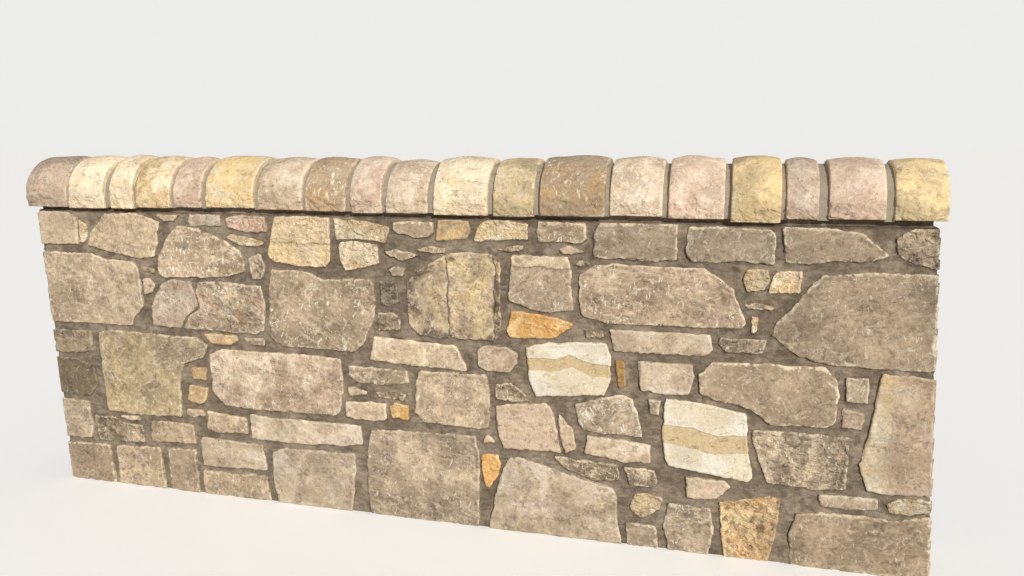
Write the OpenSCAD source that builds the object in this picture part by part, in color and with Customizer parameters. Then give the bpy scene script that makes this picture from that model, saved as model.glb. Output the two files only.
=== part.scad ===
// A free-standing garden wall of random rubble sandstone, both ends showing, under a half-round cope.
// Lengths are in millimetres. X runs along the wall, -Y is its front, Z = 0 is the ground.

/* [Wall] */
// Length of the wall just under the cope
wall_length = 3340; // [2600:10:4400]
// Height of the stonework under the cope
wall_height = 1190; // [950:10:1500]
// Thickness over the faces of the stones
wall_thickness = 260; // [240:5:360]
// How much further out the right-hand end stands at the ground than at the top
end_batter = 75; // [0:5:110]

/* [Face stones] */
// How far the face stones reach into the wall
stone_bed = 105; // [60:5:110]
// How far the small packing stones reach into the wall
pinning_bed = 60; // [30:5:90]
// How far a paired end stone reaches into the wall
quoin_bed = 118; // [80:1:118]
// How far the stones stand out of the mortar between them
pointing_recess = 14; // [6:1:24]
// How far the edges of the stones' faces are worn back
worn_edge = 9; // [3:1:14]

/* [Cope] */
// Width of the cope stones across the wall
cope_width = 320; // [300:5:420]
// Height of the upright edge under the half round
cope_edge = 35; // [25:1:60]
// How far the middle of a cope stone stands out past its ends
cope_swell = 6; // [2:1:12]
// Radius of the edges round the ends of a cope stone
cope_arris = 8; // [3:1:14]
// How far the cope runs past the stonework at each end
cope_oversail = 15; // [0:1:40]
// Usual width of a joint between two cope stones
cope_joint = 20; // [8:1:30]
// How far the joints' mortar lies under the surface of the cope stones
cope_joint_recess = 12; // [4:1:20]
// Thickness of the mortar bed under the cope
bed_thickness = 18; // [12:1:30]
// How far the bed's edge lies behind the face of the wall
bed_recess = 18; // [8:1:30]

/* [Hidden] */
// Length and height of the face on which the outlines below are drawn
DRAWN = [3340, 1190];
stretch = [wall_length / DRAWN[0], wall_height / DRAWN[1]];
face = wall_thickness / 2;

// The cope stones from left to right: width, next joint as a share of the usual one,
// how much higher than usual the crown is, how much lower the underside lies, how far the sides swell
COPE = [
    [190, 0.6, 0, 3, 2],
    [166, 1.6, 2, 6, 4],
    [102, 0.9, 4, 5, 3],
    [149, 0.85, 0, 0, 2],
    [119, 1.3, -4, -4, 0],
    [200, 0.85, 2, -6, 4],
    [180, 0.8, -4, -2, 0],
    [159, 1, -3, 0, 3],
    [119, 0.95, 0, 4, 2],
    [155, 1.1, -13, 1, 4],
    [196, 1.05, 0, 5, 1],
    [143, 1.05, -4, 6, 3],
    [219, 0.85, 4, 1, 5],
    [171, 0.95, 0, -4, 1],
    [175, 1.05, 2, 1, 2],
    [151, 0.75, 3, 9, 4],
    [96, 1.45, -3, -4, 0],
    [163, 1.25, 0, -6, 2],
    [150, 0, -4, -6, 1]
];
last = len(COPE) - 1;

function sum_to(list, column, count) = count == 0 ? 0 : list[count - 1][column] + sum_to(list, column, count - 1);

cope_run = wall_length + 2 * cope_oversail;
joints_run = cope_joint * sum_to(COPE, 1, last + 1);
cope_share = (cope_run - joints_run) / sum_to(COPE, 0, last + 1);

function cope_start(i) = -cope_oversail + cope_share * sum_to(COPE, 0, i) + cope_joint * sum_to(COPE, 1, i);
function cope_long(i) = cope_share * COPE[i][0];
function cope_end(i) = cope_start(i) + cope_long(i);
function cope_under(i) = wall_height - COPE[i][3];
function cope_half(i) = cope_width / 2 + COPE[i][4];
function cope_upright(i) = cope_edge + COPE[i][2] + COPE[i][3] - COPE[i][4];

stone_top = wall_height - bed_thickness;

// The right-hand end of the stonework at a height
function end_at(height) = wall_length + end_batter * (1 - height / wall_height);
function between(value, low, high) = min(max(value, low), high);

// A drawn outline at the size of the wall, where what runs past an end, the ground or the bed stops there
function placed(points) = [
    for (p = points)
        let (height = between(p[1] * stretch[1], 0, stone_top))
            [between(p[0] * stretch[0], 0, end_at(height)), height]
];

// The origin stands in the middle of the whole wall's length
right_reach = wall_length + max(end_batter, cope_oversail);
middle = (right_reach - cope_oversail) / 2;

// Outlines of the stones as they show on the front, from the left end of the wall and the ground.
// Those on an end or on the ground are drawn past it.
LEFT_THROUGH = [
    [[-40, 1158], [30, 1166], [138, 1165], [188, 1138], [180, 1034], [-40, 1032]],
    [[-40, 668], [185, 672], [190, 588], [110, 577], [-40, 572]],
    [[-40, 365], [135, 362], [142, 240], [128, 198], [-40, 192]]
];
LEFT_PAIRED = [
    [[-40, 998], [240, 998], [295, 975], [425, 970], [455, 950], [460, 790], [415, 745], [395, 708], [-40, 704]],
    [[-40, 548], [105, 550], [188, 512], [195, 445], [150, 388], [-40, 392]],
    [[-40, 165], [215, 172], [228, -20], [-40, -20]]
];
RIGHT_THROUGH = [
    [[3222, 1140], [3268, 1168], [3460, 1170], [3460, 1045], [3345, 1046], [3270, 1060], [3230, 1085]],
    [[3215, 702], [3460, 694], [3460, 304], [3385, 300], [3250, 293], [3200, 300], [3170, 385], [3192, 500]],
    [[3262, 260], [3300, 283], [3460, 285], [3460, 244], [3330, 226], [3272, 228]]
];
RIGHT_PAIRED = [
    [[2988, 985], [3020, 1015], [3190, 1028], [3460, 1030], [3460, 718], [3210, 720], [3060, 722],
        [2960, 745], [2875, 810], [2885, 850], [2945, 920]],
    [[2966, 110], [2985, 190], [3060, 205], [3300, 206], [3385, 226], [3460, 226], [3460, -20], [2978, -20]]
];
TOP = [
    [[325, 1160], [470, 1165], [572, 1132], [556, 1050], [534, 996], [470, 985], [380, 1000], [232, 1030], [246, 1080]],
    [[712, 1164], [845, 1164], [848, 1125], [712, 1122]],
    [[870, 1152], [935, 1166], [1040, 1162], [1044, 1106], [960, 1103], [885, 1118]],
    [[552, 925], [548, 965], [562, 1000], [600, 1062], [634, 1100], [665, 1122], [745, 1106], [855, 1068],
        [918, 1030], [944, 985], [938, 952], [860, 928], [760, 918], [570, 914]],
    [[1082, 1164], [1215, 1168], [1304, 1162], [1300, 1000], [1278, 980], [1195, 978], [1062, 995], [1042, 1012], [1056, 1062]],
    [[1324, 1160], [1460, 1152], [1542, 1132], [1528, 1080], [1415, 1090], [1330, 1084]],
    [[1335, 1058], [1352, 1074], [1410, 1080], [1490, 1068], [1497, 1002], [1440, 985], [1362, 968], [1346, 1005]],
    [[1556, 1148], [1610, 1158], [1708, 1154], [1712, 1118], [1690, 1105], [1640, 1100], [1558, 1120]],
    [[1730, 1164], [1842, 1164], [1848, 1120], [1830, 1100], [1722, 1093]],
    [[1895, 1160], [1935, 1168], [2005, 1164], [2054, 1155], [2054, 1104], [1862, 1095], [1874, 1134]],
    [[2094, 1166], [2255, 1164], [2258, 1112], [2240, 1096], [2090, 1100]],
    [[2286, 1050], [2286, 1135], [2304, 1166], [2560, 1168], [2562, 1050], [2480, 1043]],
    [[2596, 1160], [2690, 1163], [2850, 1155], [2868, 1136], [2868, 1046], [2750, 1052], [2690, 1043], [2610, 1048], [2592, 1076]],
    [[2888, 1164], [3030, 1164], [3125, 1150], [3205, 1082], [3150, 1064], [3050, 1062], [2975, 1048], [2902, 1052]]
];
UPPER = [
    [[500, 714], [502, 788], [526, 842], [562, 886], [604, 903], [688, 898], [704, 858], [712, 802], [655, 757], [630, 708]],
    [[724, 898], [820, 904], [1000, 893], [1012, 832], [1004, 722], [965, 703], [644, 708], [666, 750], [724, 796], [714, 858]],
    [[1055, 960], [1180, 962], [1270, 930], [1390, 940], [1468, 940], [1476, 870], [1466, 790], [1438, 735],
        [1420, 690], [1380, 660], [1080, 662], [1036, 690], [1030, 752], [1042, 900]],
    [[1496, 934], [1562, 932], [1568, 862], [1540, 842], [1500, 850]],
    [[1486, 812], [1540, 816], [1574, 800], [1568, 756], [1482, 748]],
    [[1602, 932], [1642, 978], [1700, 1008], [1762, 1043], [1830, 1052], [1925, 1048], [1954, 1028], [1955, 760],
        [1930, 736], [1700, 734], [1642, 742], [1605, 780]],
    [[1998, 1046], [2196, 1046], [2204, 1000], [2214, 862], [2130, 847], [2065, 858], [1986, 886]],
    [[1998, 845], [2030, 848], [2060, 842], [2140, 832], [2214, 812], [2205, 795], [2140, 756], [1990, 750], [1976, 776]],
    [[2240, 985], [2290, 1018], [2345, 1028], [2650, 1022], [2690, 1000], [2748, 955], [2766, 900], [2788, 850],
        [2778, 828], [2330, 822], [2246, 845], [2236, 900]],
    [[2776, 990], [2786, 1024], [2850, 1024], [2856, 995], [2842, 962], [2790, 954]],
    [[2866, 1000], [2882, 1020], [2954, 1022], [2950, 956], [2854, 948]],
    [[2712, 790], [2862, 792], [2846, 744], [2730, 746], [2706, 770]]
];
MIDDLE = [
    [[228, 668], [290, 680], [690, 670], [742, 640], [716, 592], [650, 572], [622, 560], [600, 480], [590, 332],
        [400, 322], [240, 330], [230, 345]],
    [[746, 605], [800, 630], [900, 634], [1200, 632], [1318, 625], [1328, 540], [1308, 420], [1288, 396], [900, 392],
        [805, 398], [750, 450]],
    [[1442, 632], [1466, 722], [1600, 714], [1784, 706], [1808, 660], [1826, 615], [1600, 622]],
    [[1868, 645], [1872, 702], [1905, 714], [1980, 710], [2014, 690], [2014, 652], [1985, 620], [1895, 620]],
    [[1352, 600], [1480, 602], [1592, 598], [1596, 552], [1480, 535], [1385, 540], [1352, 565]],
    [[1332, 455], [1420, 460], [1496, 460], [1498, 402], [1450, 388], [1335, 395]],
    [[1625, 560], [1642, 600], [1898, 602], [1910, 540], [1904, 405], [1880, 396], [1652, 400], [1618, 440]],
    [[1934, 570], [1985, 578], [2036, 545], [2052, 520], [1996, 508], [1934, 518]],
    [[2045, 718], [2120, 736], [2232, 748], [2334, 750], [2348, 700], [2346, 620], [2328, 562], [2080, 540], [2060, 600]],
    [[2345, 798], [2680, 800], [2688, 750], [2662, 728], [2440, 722], [2362, 728]],
    [[2442, 690], [2626, 692], [2630, 650], [2616, 588], [2540, 582], [2455, 590]],
    [[2646, 660], [2686, 700], [2800, 710], [3045, 708], [3080, 670], [3092, 620], [3086, 528], [3058, 508], [2882, 502],
        [2840, 540], [2780, 562], [2690, 575], [2652, 596]],
    [[3110, 682], [3178, 684], [3180, 602], [3114, 600]],
    [[3108, 576], [3172, 566], [3168, 508], [3106, 512]]
];
LOWER = [
    [[160, 300], [262, 298], [288, 278], [395, 274], [398, 200], [166, 190]],
    [[440, 298], [640, 300], [644, 218], [434, 210]],
    [[714, 366], [765, 358], [888, 348], [894, 286], [760, 276], [712, 290]],
    [[910, 366], [1000, 360], [1390, 364], [1394, 286], [1300, 274], [1150, 264], [912, 266]],
    [[1932, 490], [2000, 498], [2118, 514], [2146, 475], [2158, 420], [2172, 332], [1962, 330], [1942, 370]],
    [[2164, 474], [2214, 430], [2228, 352], [2188, 328], [2174, 400]],
    [[2226, 520], [2300, 545], [2392, 566], [2426, 552], [2446, 500], [2464, 418], [2252, 426], [2236, 470]],
    [[2268, 404], [2420, 398], [2492, 388], [2492, 326], [2420, 318], [2262, 338]],
    [[2540, 564], [2650, 560], [2804, 532], [2812, 480], [2818, 400], [2838, 306], [2822, 290], [2700, 302],
        [2560, 320], [2544, 340], [2532, 450]],
    [[2830, 476], [2900, 480], [3134, 478], [3132, 296], [3040, 286], [2886, 294], [2858, 370], [2832, 430]],
    [[2148, 312], [2380, 304], [2384, 246], [2292, 240], [2190, 272]],
    [[2402, 298], [2506, 298], [2522, 250], [2500, 232], [2424, 234]],
    [[2618, 284], [2745, 284], [2764, 262], [2742, 230], [2700, 214], [2622, 208]],
    [[3055, 268], [3235, 272], [3238, 240], [3160, 226], [3060, 230]]
];
FOOT = [
    [[250, 170], [465, 182], [480, -20], [252, -20]],
    [[506, 185], [640, 190], [642, -20], [508, -20]],
    [[672, 248], [958, 242], [966, 135], [674, 125]],
    [[670, 100], [962, 108], [975, -20], [668, -20]],
    [[995, 120], [1002, 214], [1052, 238], [1358, 243], [1360, 180], [1335, -20], [1008, -20]],
    [[1432, 345], [1480, 354], [1850, 366], [1866, 300], [1862, 150], [1858, -20], [1420, -20], [1408, 130], [1415, 250]],
    [[1985, 294], [2012, 298], [2200, 248], [2360, 210], [2378, 180], [2382, 70], [2398, -20], [1900, -20],
        [1925, 140], [1960, 250]],
    [[2560, 178], [2700, 176], [2716, 100], [2702, -20], [2566, -20], [2546, 90]],
    [[2736, 202], [2810, 220], [2895, 242], [2930, 238], [2926, 120], [2900, -20], [2756, -20], [2742, 100]],
    [[2414, 88], [2518, 84], [2526, -20], [2420, -20]]
];
PINNINGS = [
    [[196, 1132], [232, 1112], [222, 1052], [206, 1040], [190, 1044]],
    [[560, 1160], [668, 1160], [645, 1138], [602, 1136]],
    [[868, 1080], [888, 1090], [960, 1082], [1030, 1062], [1000, 1050], [930, 1052]],
    [[960, 1004], [1008, 1018], [1026, 970], [1010, 924], [968, 920]],
    [[1520, 1044], [1560, 1052], [1625, 1042], [1655, 1034], [1588, 1014], [1550, 1028]],
    [[1645, 1056], [1690, 1068], [1752, 1064], [1750, 1048], [1700, 1046]],
    [[1536, 980], [1556, 990], [1598, 984], [1590, 958], [1545, 958]],
    [[1948, 1064], [1990, 1078], [2040, 1082], [2038, 1070], [2000, 1060]],
    [[2166, 1072], [2200, 1084], [2252, 1068], [2210, 1058], [2180, 1060]],
    [[2222, 1020], [2242, 1034], [2272, 1030], [2258, 1018]],
    [[474, 902], [506, 904], [524, 880], [512, 852], [474, 840]],
    [[470, 950], [530, 944], [528, 930], [480, 936]],
    [[2786, 906], [2820, 916], [2876, 904], [2868, 896], [2800, 896]],
    [[2806, 870], [2828, 870], [2824, 816], [2812, 814]],
    [[2254, 790], [2322, 794], [2326, 770], [2262, 768]],
    [[732, 690], [874, 690], [884, 670], [850, 654], [772, 652]],
    [[912, 684], [1000, 686], [1000, 658], [926, 660]],
    [[656, 548], [726, 550], [722, 498], [664, 500]],
    [[640, 470], [728, 464], [714, 412], [690, 394], [628, 402]],
    [[618, 364], [688, 368], [700, 346], [650, 334], [614, 340]],
    [[1342, 515], [1372, 516], [1424, 500], [1416, 490], [1348, 482]],
    [[1460, 504], [1588, 506], [1570, 480], [1482, 484]],
    [[1515, 452], [1540, 466], [1592, 460], [1592, 408], [1522, 408]],
    [[2366, 692], [2396, 690], [2400, 604], [2380, 592], [2370, 640]],
    [[2480, 558], [2522, 556], [2516, 504], [2488, 504]],
    [[292, 308], [322, 312], [372, 310], [388, 298], [332, 294]],
    [[1878, 342], [1898, 370], [1912, 362], [1926, 346]],
    [[1876, 292], [1906, 298], [1938, 296], [1948, 262], [1932, 210], [1902, 164], [1890, 172], [1876, 232]],
    [[2426, 150], [2442, 198], [2478, 206], [2538, 194], [2528, 150], [2470, 114], [2442, 120]]
];

cream = [0.85, 0.77, 0.62];
buff = [0.72, 0.65, 0.54];
grey_buff = [0.63, 0.58, 0.49];
pinkish = [0.79, 0.66, 0.57];
ochre = [0.84, 0.66, 0.40];
mortar_grey = [0.55, 0.52, 0.46];

COPE_COLOURS = [
    pinkish, cream, cream, ochre, pinkish, ochre, pinkish, buff, pinkish, buff,
    cream, buff, buff, cream, pinkish, ochre, pinkish, pinkish, cream
];

// A small stone's face is worn back by no more than this share of its smaller side
MOST_WORN = 0.15;

// Elevation of the stonework, drawn in by the given amount at both ends
module elevation(inset) {
    polygon([[inset, 0], [end_at(0) - inset, 0], [end_at(stone_top) - inset, stone_top], [inset, stone_top]]);
}

// Stands an elevation up and gives it depth, from one plane across the wall to another
module stand(from, to) {
    translate([-middle, to, 0]) rotate([90, 0, 0]) linear_extrude(to - from) children();
}

// The blocks that a list of stones fills, from the front face of the wall inwards
module front_blocks(outlines, bed) {
    for (points = outlines) stand(-face, bed - face) polygon(placed(points));
}

// The outer layer of a front stone, narrowing towards the face of the wall
module worn_face(points) {
    shown = placed(points);
    low = [min([for (p = shown) p[0]]), min([for (p = shown) p[1]])];
    high = [max([for (p = shown) p[0]]), max([for (p = shown) p[1]])];
    centre = (low + high) / 2;
    size = high - low;
    worn = min(worn_edge, min(size) * MOST_WORN);
    translate([-middle, worn_edge - face, 0]) rotate([90, 0, 0]) translate(centre)
        linear_extrude(worn_edge, scale = [1 - 2 * worn / size[0], 1 - 2 * worn / size[1]],
            slices = 1, segments = 1)
            translate(-centre) polygon(shown);
}

module front_stones(outlines, bed) {
    for (points = outlines) union() {
        stand(worn_edge - face, bed - face) polygon(placed(points));
        worn_face(points);
    }
}

module back_stones(outlines, bed) {
    mirror([0, 1, 0]) front_stones(outlines, bed);
}

module through_stones(outlines) {
    for (points = outlines) union() {
        stand(worn_edge - face, face - worn_edge) polygon(placed(points));
        worn_face(points);
        mirror([0, 1, 0]) worn_face(points);
    }
}

module paired_stones(outlines) {
    front_stones(outlines, quoin_bed);
    back_stones(outlines, quoin_bed);
}

module left_quoins() {
    color(cream) through_stones(LEFT_THROUGH);
    color(buff) paired_stones(LEFT_PAIRED);
}

module right_quoins() {
    color(cream) through_stones(RIGHT_THROUGH);
    color(grey_buff) paired_stones(RIGHT_PAIRED);
}

// Everything between the stones: the pointing on both faces and the packed heart of the wall
module mortar() {
    color(mortar_grey) difference() {
        stand(pointing_recess - face, face - pointing_recess) elevation(pointing_recess);
        for (outlines = [LEFT_THROUGH, RIGHT_THROUGH]) front_blocks(outlines, wall_thickness);
        for (side = [0, 1]) mirror([0, side, 0]) {
            for (outlines = [LEFT_PAIRED, RIGHT_PAIRED]) front_blocks(outlines, quoin_bed);
            for (outlines = [TOP, UPPER, MIDDLE, LOWER, FOOT]) front_blocks(outlines, stone_bed);
            front_blocks(PINNINGS, pinning_bed);
        }
    }
}

// Half-round cross-section, standing on its underside: an upright edge and a half circle on it
module cope_section(half, upright) {
    translate([-half, 0]) square([2 * half, upright]);
    intersection() {
        translate([0, upright]) circle(half, $fn = 96);
        translate([-half, upright]) square([2 * half, half]);
    }
}

// Lays a cross-section along the wall, from one place on its length to another
module lay(from, to, height) {
    translate([from - middle, 0, height]) rotate([90, 0, 90]) linear_extrude(to - from) children();
}

// Half the plan of a cope stone: its length runs up, its side bows out to the right past rounded corners
module cope_half_plan(long, half) {
    bow = (long * long / 4 + cope_swell * cope_swell) / (2 * cope_swell);
    shoulder = half - bow + sqrt(bow * bow - pow(long / 2 - 2 * cope_arris, 2));
    square([shoulder - cope_arris, long]);
    for (end = [cope_arris, long - cope_arris])
        translate([shoulder - cope_arris, end]) circle(cope_arris, $fn = 48);
    translate([0, cope_arris]) {
        square([shoulder, long - 2 * cope_arris]);
        intersection() {
            square([half, long - 2 * cope_arris]);
            translate([half - bow, long / 2 - cope_arris]) circle(bow, $fn = 720);
        }
    }
}

// A cope stone turned about the wall's length, on an upright edge of the same plan
module cope_stone(i) {
    color(COPE_COLOURS[i])
        translate([cope_start(i) - middle, 0, cope_under(i) + cope_upright(i)]) rotate([90, 0, 90]) {
            rotate_extrude(angle = 180, $fn = 96) cope_half_plan(cope_long(i), cope_half(i));
            rotate([90, 0, 0]) linear_extrude(cope_upright(i)) {
                cope_half_plan(cope_long(i), cope_half(i));
                mirror([1, 0]) cope_half_plan(cope_long(i), cope_half(i));
            }
        }
}

module cope_joints() {
    color(mortar_grey) for (i = [0:last - 1])
        lay(cope_end(i), cope_start(i + 1), wall_height)
            cope_section(cope_width / 2 - cope_joint_recess, cope_edge);
}

// The bed fills up to the underside of each cope stone
module cope_bed() {
    half = face - bed_recess;
    color(mortar_grey) stand(-half, half) {
        for (i = [0:last]) {
            from = i == 0 ? bed_recess : cope_start(i);
            to = i == last ? wall_length - bed_recess : cope_end(i);
            translate([from, stone_top]) square([to - from, cope_under(i) - stone_top]);
        }
        for (i = [0:last - 1])
            translate([cope_end(i), stone_top]) square([cope_start(i + 1) - cope_end(i), bed_thickness]);
    }
}

mortar();
cope_bed();
cope_joints();
left_quoins();
right_quoins();
color(buff) front_stones(TOP, stone_bed);  // front_top_stones
color(grey_buff) front_stones(UPPER, stone_bed);  // front_upper_stones
color(pinkish) front_stones(MIDDLE, stone_bed);  // front_middle_stones
color(cream) front_stones(LOWER, stone_bed);  // front_lower_stones
color(buff) front_stones(FOOT, stone_bed);  // front_foot_stones
color(ochre) front_stones(PINNINGS, pinning_bed);  // front_pinnings
color(buff) back_stones(TOP, stone_bed);  // back_top_stones
color(grey_buff) back_stones(UPPER, stone_bed);  // back_upper_stones
color(pinkish) back_stones(MIDDLE, stone_bed);  // back_middle_stones
color(cream) back_stones(LOWER, stone_bed);  // back_lower_stones
color(buff) back_stones(FOOT, stone_bed);  // back_foot_stones
color(ochre) back_stones(PINNINGS, pinning_bed);  // back_pinnings
cope_stone(0);  // cope_01
cope_stone(1);  // cope_02
cope_stone(2);  // cope_03
cope_stone(3);  // cope_04
cope_stone(4);  // cope_05
cope_stone(5);  // cope_06
cope_stone(6);  // cope_07
cope_stone(7);  // cope_08
cope_stone(8);  // cope_09
cope_stone(9);  // cope_10
cope_stone(10);  // cope_11
cope_stone(11);  // cope_12
cope_stone(12);  // cope_13
cope_stone(13);  // cope_14
cope_stone(14);  // cope_15
cope_stone(15);  // cope_16
cope_stone(16);  // cope_17
cope_stone(17);  // cope_18
cope_stone(18);  // cope_19
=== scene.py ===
"""Dresses the solids of a mortared rubble garden wall: split stone faces, pointing and a half-round cope.

Lengths are in metres, in the frame of the solids: X along the wall, -Y its front, Z up from the ground.
"""

import math
import random
from types import SimpleNamespace

import bmesh
import bpy
from bpy.props import FloatProperty, FloatVectorProperty, PointerProperty
from mathutils import Matrix, Vector, kdtree, noise


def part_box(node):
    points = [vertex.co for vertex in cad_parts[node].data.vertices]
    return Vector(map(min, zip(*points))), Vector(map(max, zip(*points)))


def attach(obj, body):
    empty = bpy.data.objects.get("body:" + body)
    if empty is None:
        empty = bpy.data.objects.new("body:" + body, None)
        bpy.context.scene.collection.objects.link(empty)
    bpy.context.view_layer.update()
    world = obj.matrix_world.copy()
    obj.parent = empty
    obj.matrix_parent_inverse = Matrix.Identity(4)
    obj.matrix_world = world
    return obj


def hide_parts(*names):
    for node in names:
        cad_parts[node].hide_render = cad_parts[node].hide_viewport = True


bl_info = {
    "name": "Rubble garden wall",
    "version": (1, 0, 0),
    "blender": (4, 5, 0),
    "location": "View3D > Sidebar > Wall",
    "description": "Dresses a mortared rubble wall with split stone faces, pointing and a half-round cope",
    "category": "Object",
}

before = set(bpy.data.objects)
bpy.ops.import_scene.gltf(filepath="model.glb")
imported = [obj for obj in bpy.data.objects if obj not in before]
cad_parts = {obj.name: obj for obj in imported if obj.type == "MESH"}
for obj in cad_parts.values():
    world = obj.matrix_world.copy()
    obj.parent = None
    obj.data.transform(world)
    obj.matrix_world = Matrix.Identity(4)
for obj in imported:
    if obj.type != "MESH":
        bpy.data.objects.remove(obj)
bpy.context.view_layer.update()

X, Y, Z = range(3)
MM = 0.001
# Points closer than the first are merged, and places closer than the second count as one
WELD = 0.01 * MM
NEAR = 0.3 * MM
# Faces that turn by less than this are merged
FLAT_ANGLE = math.radians(3)

# The faces of the stones narrow over this depth in the solids
WORN_DEPTH = 9 * MM
WALL_LOW, WALL_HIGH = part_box("mortar")
STONE_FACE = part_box("left_quoins")[1].y
LEFT_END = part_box("left_quoins")[0].x
RIGHT_END_AT_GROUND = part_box("right_quoins")[1].x
RIGHT_END_AT_TOP = max(
    v.co.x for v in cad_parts["right_quoins"].data.vertices if v.co.z > WALL_HIGH.z - 10 * MM
)

# Outlines of stones wander in bends of these sizes, and less and less within this margin of the wall's ends,
# ground and bed
BROAD_BEND = 55 * MM
SMALL_BEND = 17 * MM
STILL_MARGIN = 30 * MM
# How deep the relief of a stone and of a cope stone may go
DEEPEST = 9.5 * MM
COPE_DEEPEST = 18 * MM
# Limits of the swell of the pointing. Only its size counts, so the pointing never lies behind its solid.
SWELL_LIMITS = (-9 * MM, 8 * MM)
# How far off the mesh of a stone says that its seam is where none crosses it
NO_SEAM = 1.0

# The camera of the photograph, solved from the lines of the wall. It turns by a yaw, a pitch and a roll, in
# degrees.
CAMERA_PLACE = (0.988, -2.746, 1.5)
CAMERA_TURNS = (-14.74, 11.86, 0.60)
CAMERA_LENS = 27.77
# Daylight: a soft sun, and a pale surround that the camera sees brighter than it lights the wall
SUN_FROM = (0.52, -0.8, 0.42)
SUN_STRENGTH = 2.8
SUN_WIDTH = math.radians(4)
SUN_COLOUR = (1.0, 0.99, 0.96)
SURROUND_SEEN = (0.845, 0.842, 0.825, 1)
SURROUND_STRENGTH = 0.34


def linear(code):
    """The linear values that shaders take, from an sRGB hex colour."""
    channels = [int(code[i:i + 2], 16) / 255 for i in (0, 2, 4)]
    return tuple(c / 12.92 if c <= 0.04045 else ((c + 0.055) / 1.055) ** 2.4 for c in channels)


def size_setting(name, text, default, low, high):
    """A length that a user can change, given in mm and kept in metres."""
    return FloatProperty(
        name=name, description=text, default=default * MM, min=low * MM, max=high * MM, unit="LENGTH"
    )


def colour_setting(name, text, code):
    """A tone that a user can change, given as an sRGB hex colour."""
    return FloatVectorProperty(
        name=name, description=text, subtype="COLOR", size=3, min=0, max=1, default=linear(code)
    )


class WallSizes(bpy.types.PropertyGroup):
    """Spacing of the meshes and depth of the relief."""

    front_grid: size_setting("Front grid", "Spacing of the points on the front stones", 4.5, 3, 30)
    back_grid: size_setting("Back grid", "Spacing of the points on the back stones", 8, 3, 30)
    mortar_grid: size_setting("Mortar grid", "Spacing of the points on the pointing", 6, 3, 30)
    cope_grid: size_setting("Cope grid", "Spacing of the points on the cope", 5, 3, 30)
    wander: size_setting("Wander", "How far the outlines of the stones wander", 4, 0, 8)
    crumble: size_setting("Crumble", "How far the outlines of the stones have crumbled", 3.2, 0, 6)
    pocket_overlap: size_setting("Pocket overlap", "How far the pointing laps the sides of stones", 4, 0, 6)
    mortar_swell: size_setting("Mortar swell", "How far the pointing swells out", 3.5, 0, 8)
    cope_arris: size_setting("Cope arris", "Width of the worn edges round a cope stone", 3.2, 3, 14)
    cope_bow: size_setting("Cope bow", "How far the middle of a cope stone stands out", 9, 0, 14)
    cope_relief: size_setting("Cope relief", "Depth of the rock face on the cope", 6, 0, 9)


class WallColours(bpy.types.PropertyGroup):
    """Tones that the finishes of the stones and the mortar are mixed from."""

    chalk: colour_setting("Chalk", "Scratches and chisel marks", "f8eedb")
    ivory: colour_setting("Ivory", "Palest freshly split stone", "efdfc0")
    cream: colour_setting("Cream", "Pale stone", "dcc5a4")
    yellow: colour_setting("Yellow", "Yellow cream stone", "dcc294")
    honey: colour_setting("Honey", "Pale golden stone", "f3d39b")
    golden: colour_setting("Golden", "Stone rich in iron", "e2af6c")
    tan: colour_setting("Tan", "Brown buff stone", "c6a479")
    rust: colour_setting("Rust", "Iron stains", "a87344")
    buff: colour_setting("Buff", "Middle buff stone", "c9b295")
    drab: colour_setting("Drab", "Grey buff stone", "b8a288")
    olive: colour_setting("Olive", "Stone under green grey weathering", "b7a37e")
    grey: colour_setting("Grey", "Grey of weathered faces", "a8957c")
    dark: colour_setting("Dark", "Dark weathered stone", "8b7b66")
    # Besides real stains, umber is laid as painted shade in pits, cracks, clefts, creases and hollows, under
    # ledges and in the pointing under the stones
    umber: colour_setting("Umber", "Stains in the hollows", "584838")
    shell: colour_setting("Shell", "Palest pink stone", "eedac2")
    blush: colour_setting("Blush", "Pale pink stone", "e0c4aa")
    rose: colour_setting("Rose", "Pinkish stone", "d2b59d")
    mauve: colour_setting("Mauve", "Mauve pink stone", "b99c89")
    red: colour_setting("Red", "Red patches", "b88168")
    mortar: colour_setting("Mortar", "Pointing", "7f7160")
    mortar_pale: colour_setting("Pale mortar", "Dry pointing", "9d8d7a")
    mortar_dry: colour_setting("Dry mortar", "Mortar between the cope stones", "a89c8a")
    mortar_dark: colour_setting("Dark mortar", "Pointing in the hollows", "5c5042")
    floor: colour_setting("Floor", "Floor under the wall, as the camera sees it", "faf9f7")
    floor_bounce: colour_setting("Floor bounce", "Floor under the wall, as it lights the wall", "a9a49c")
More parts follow.
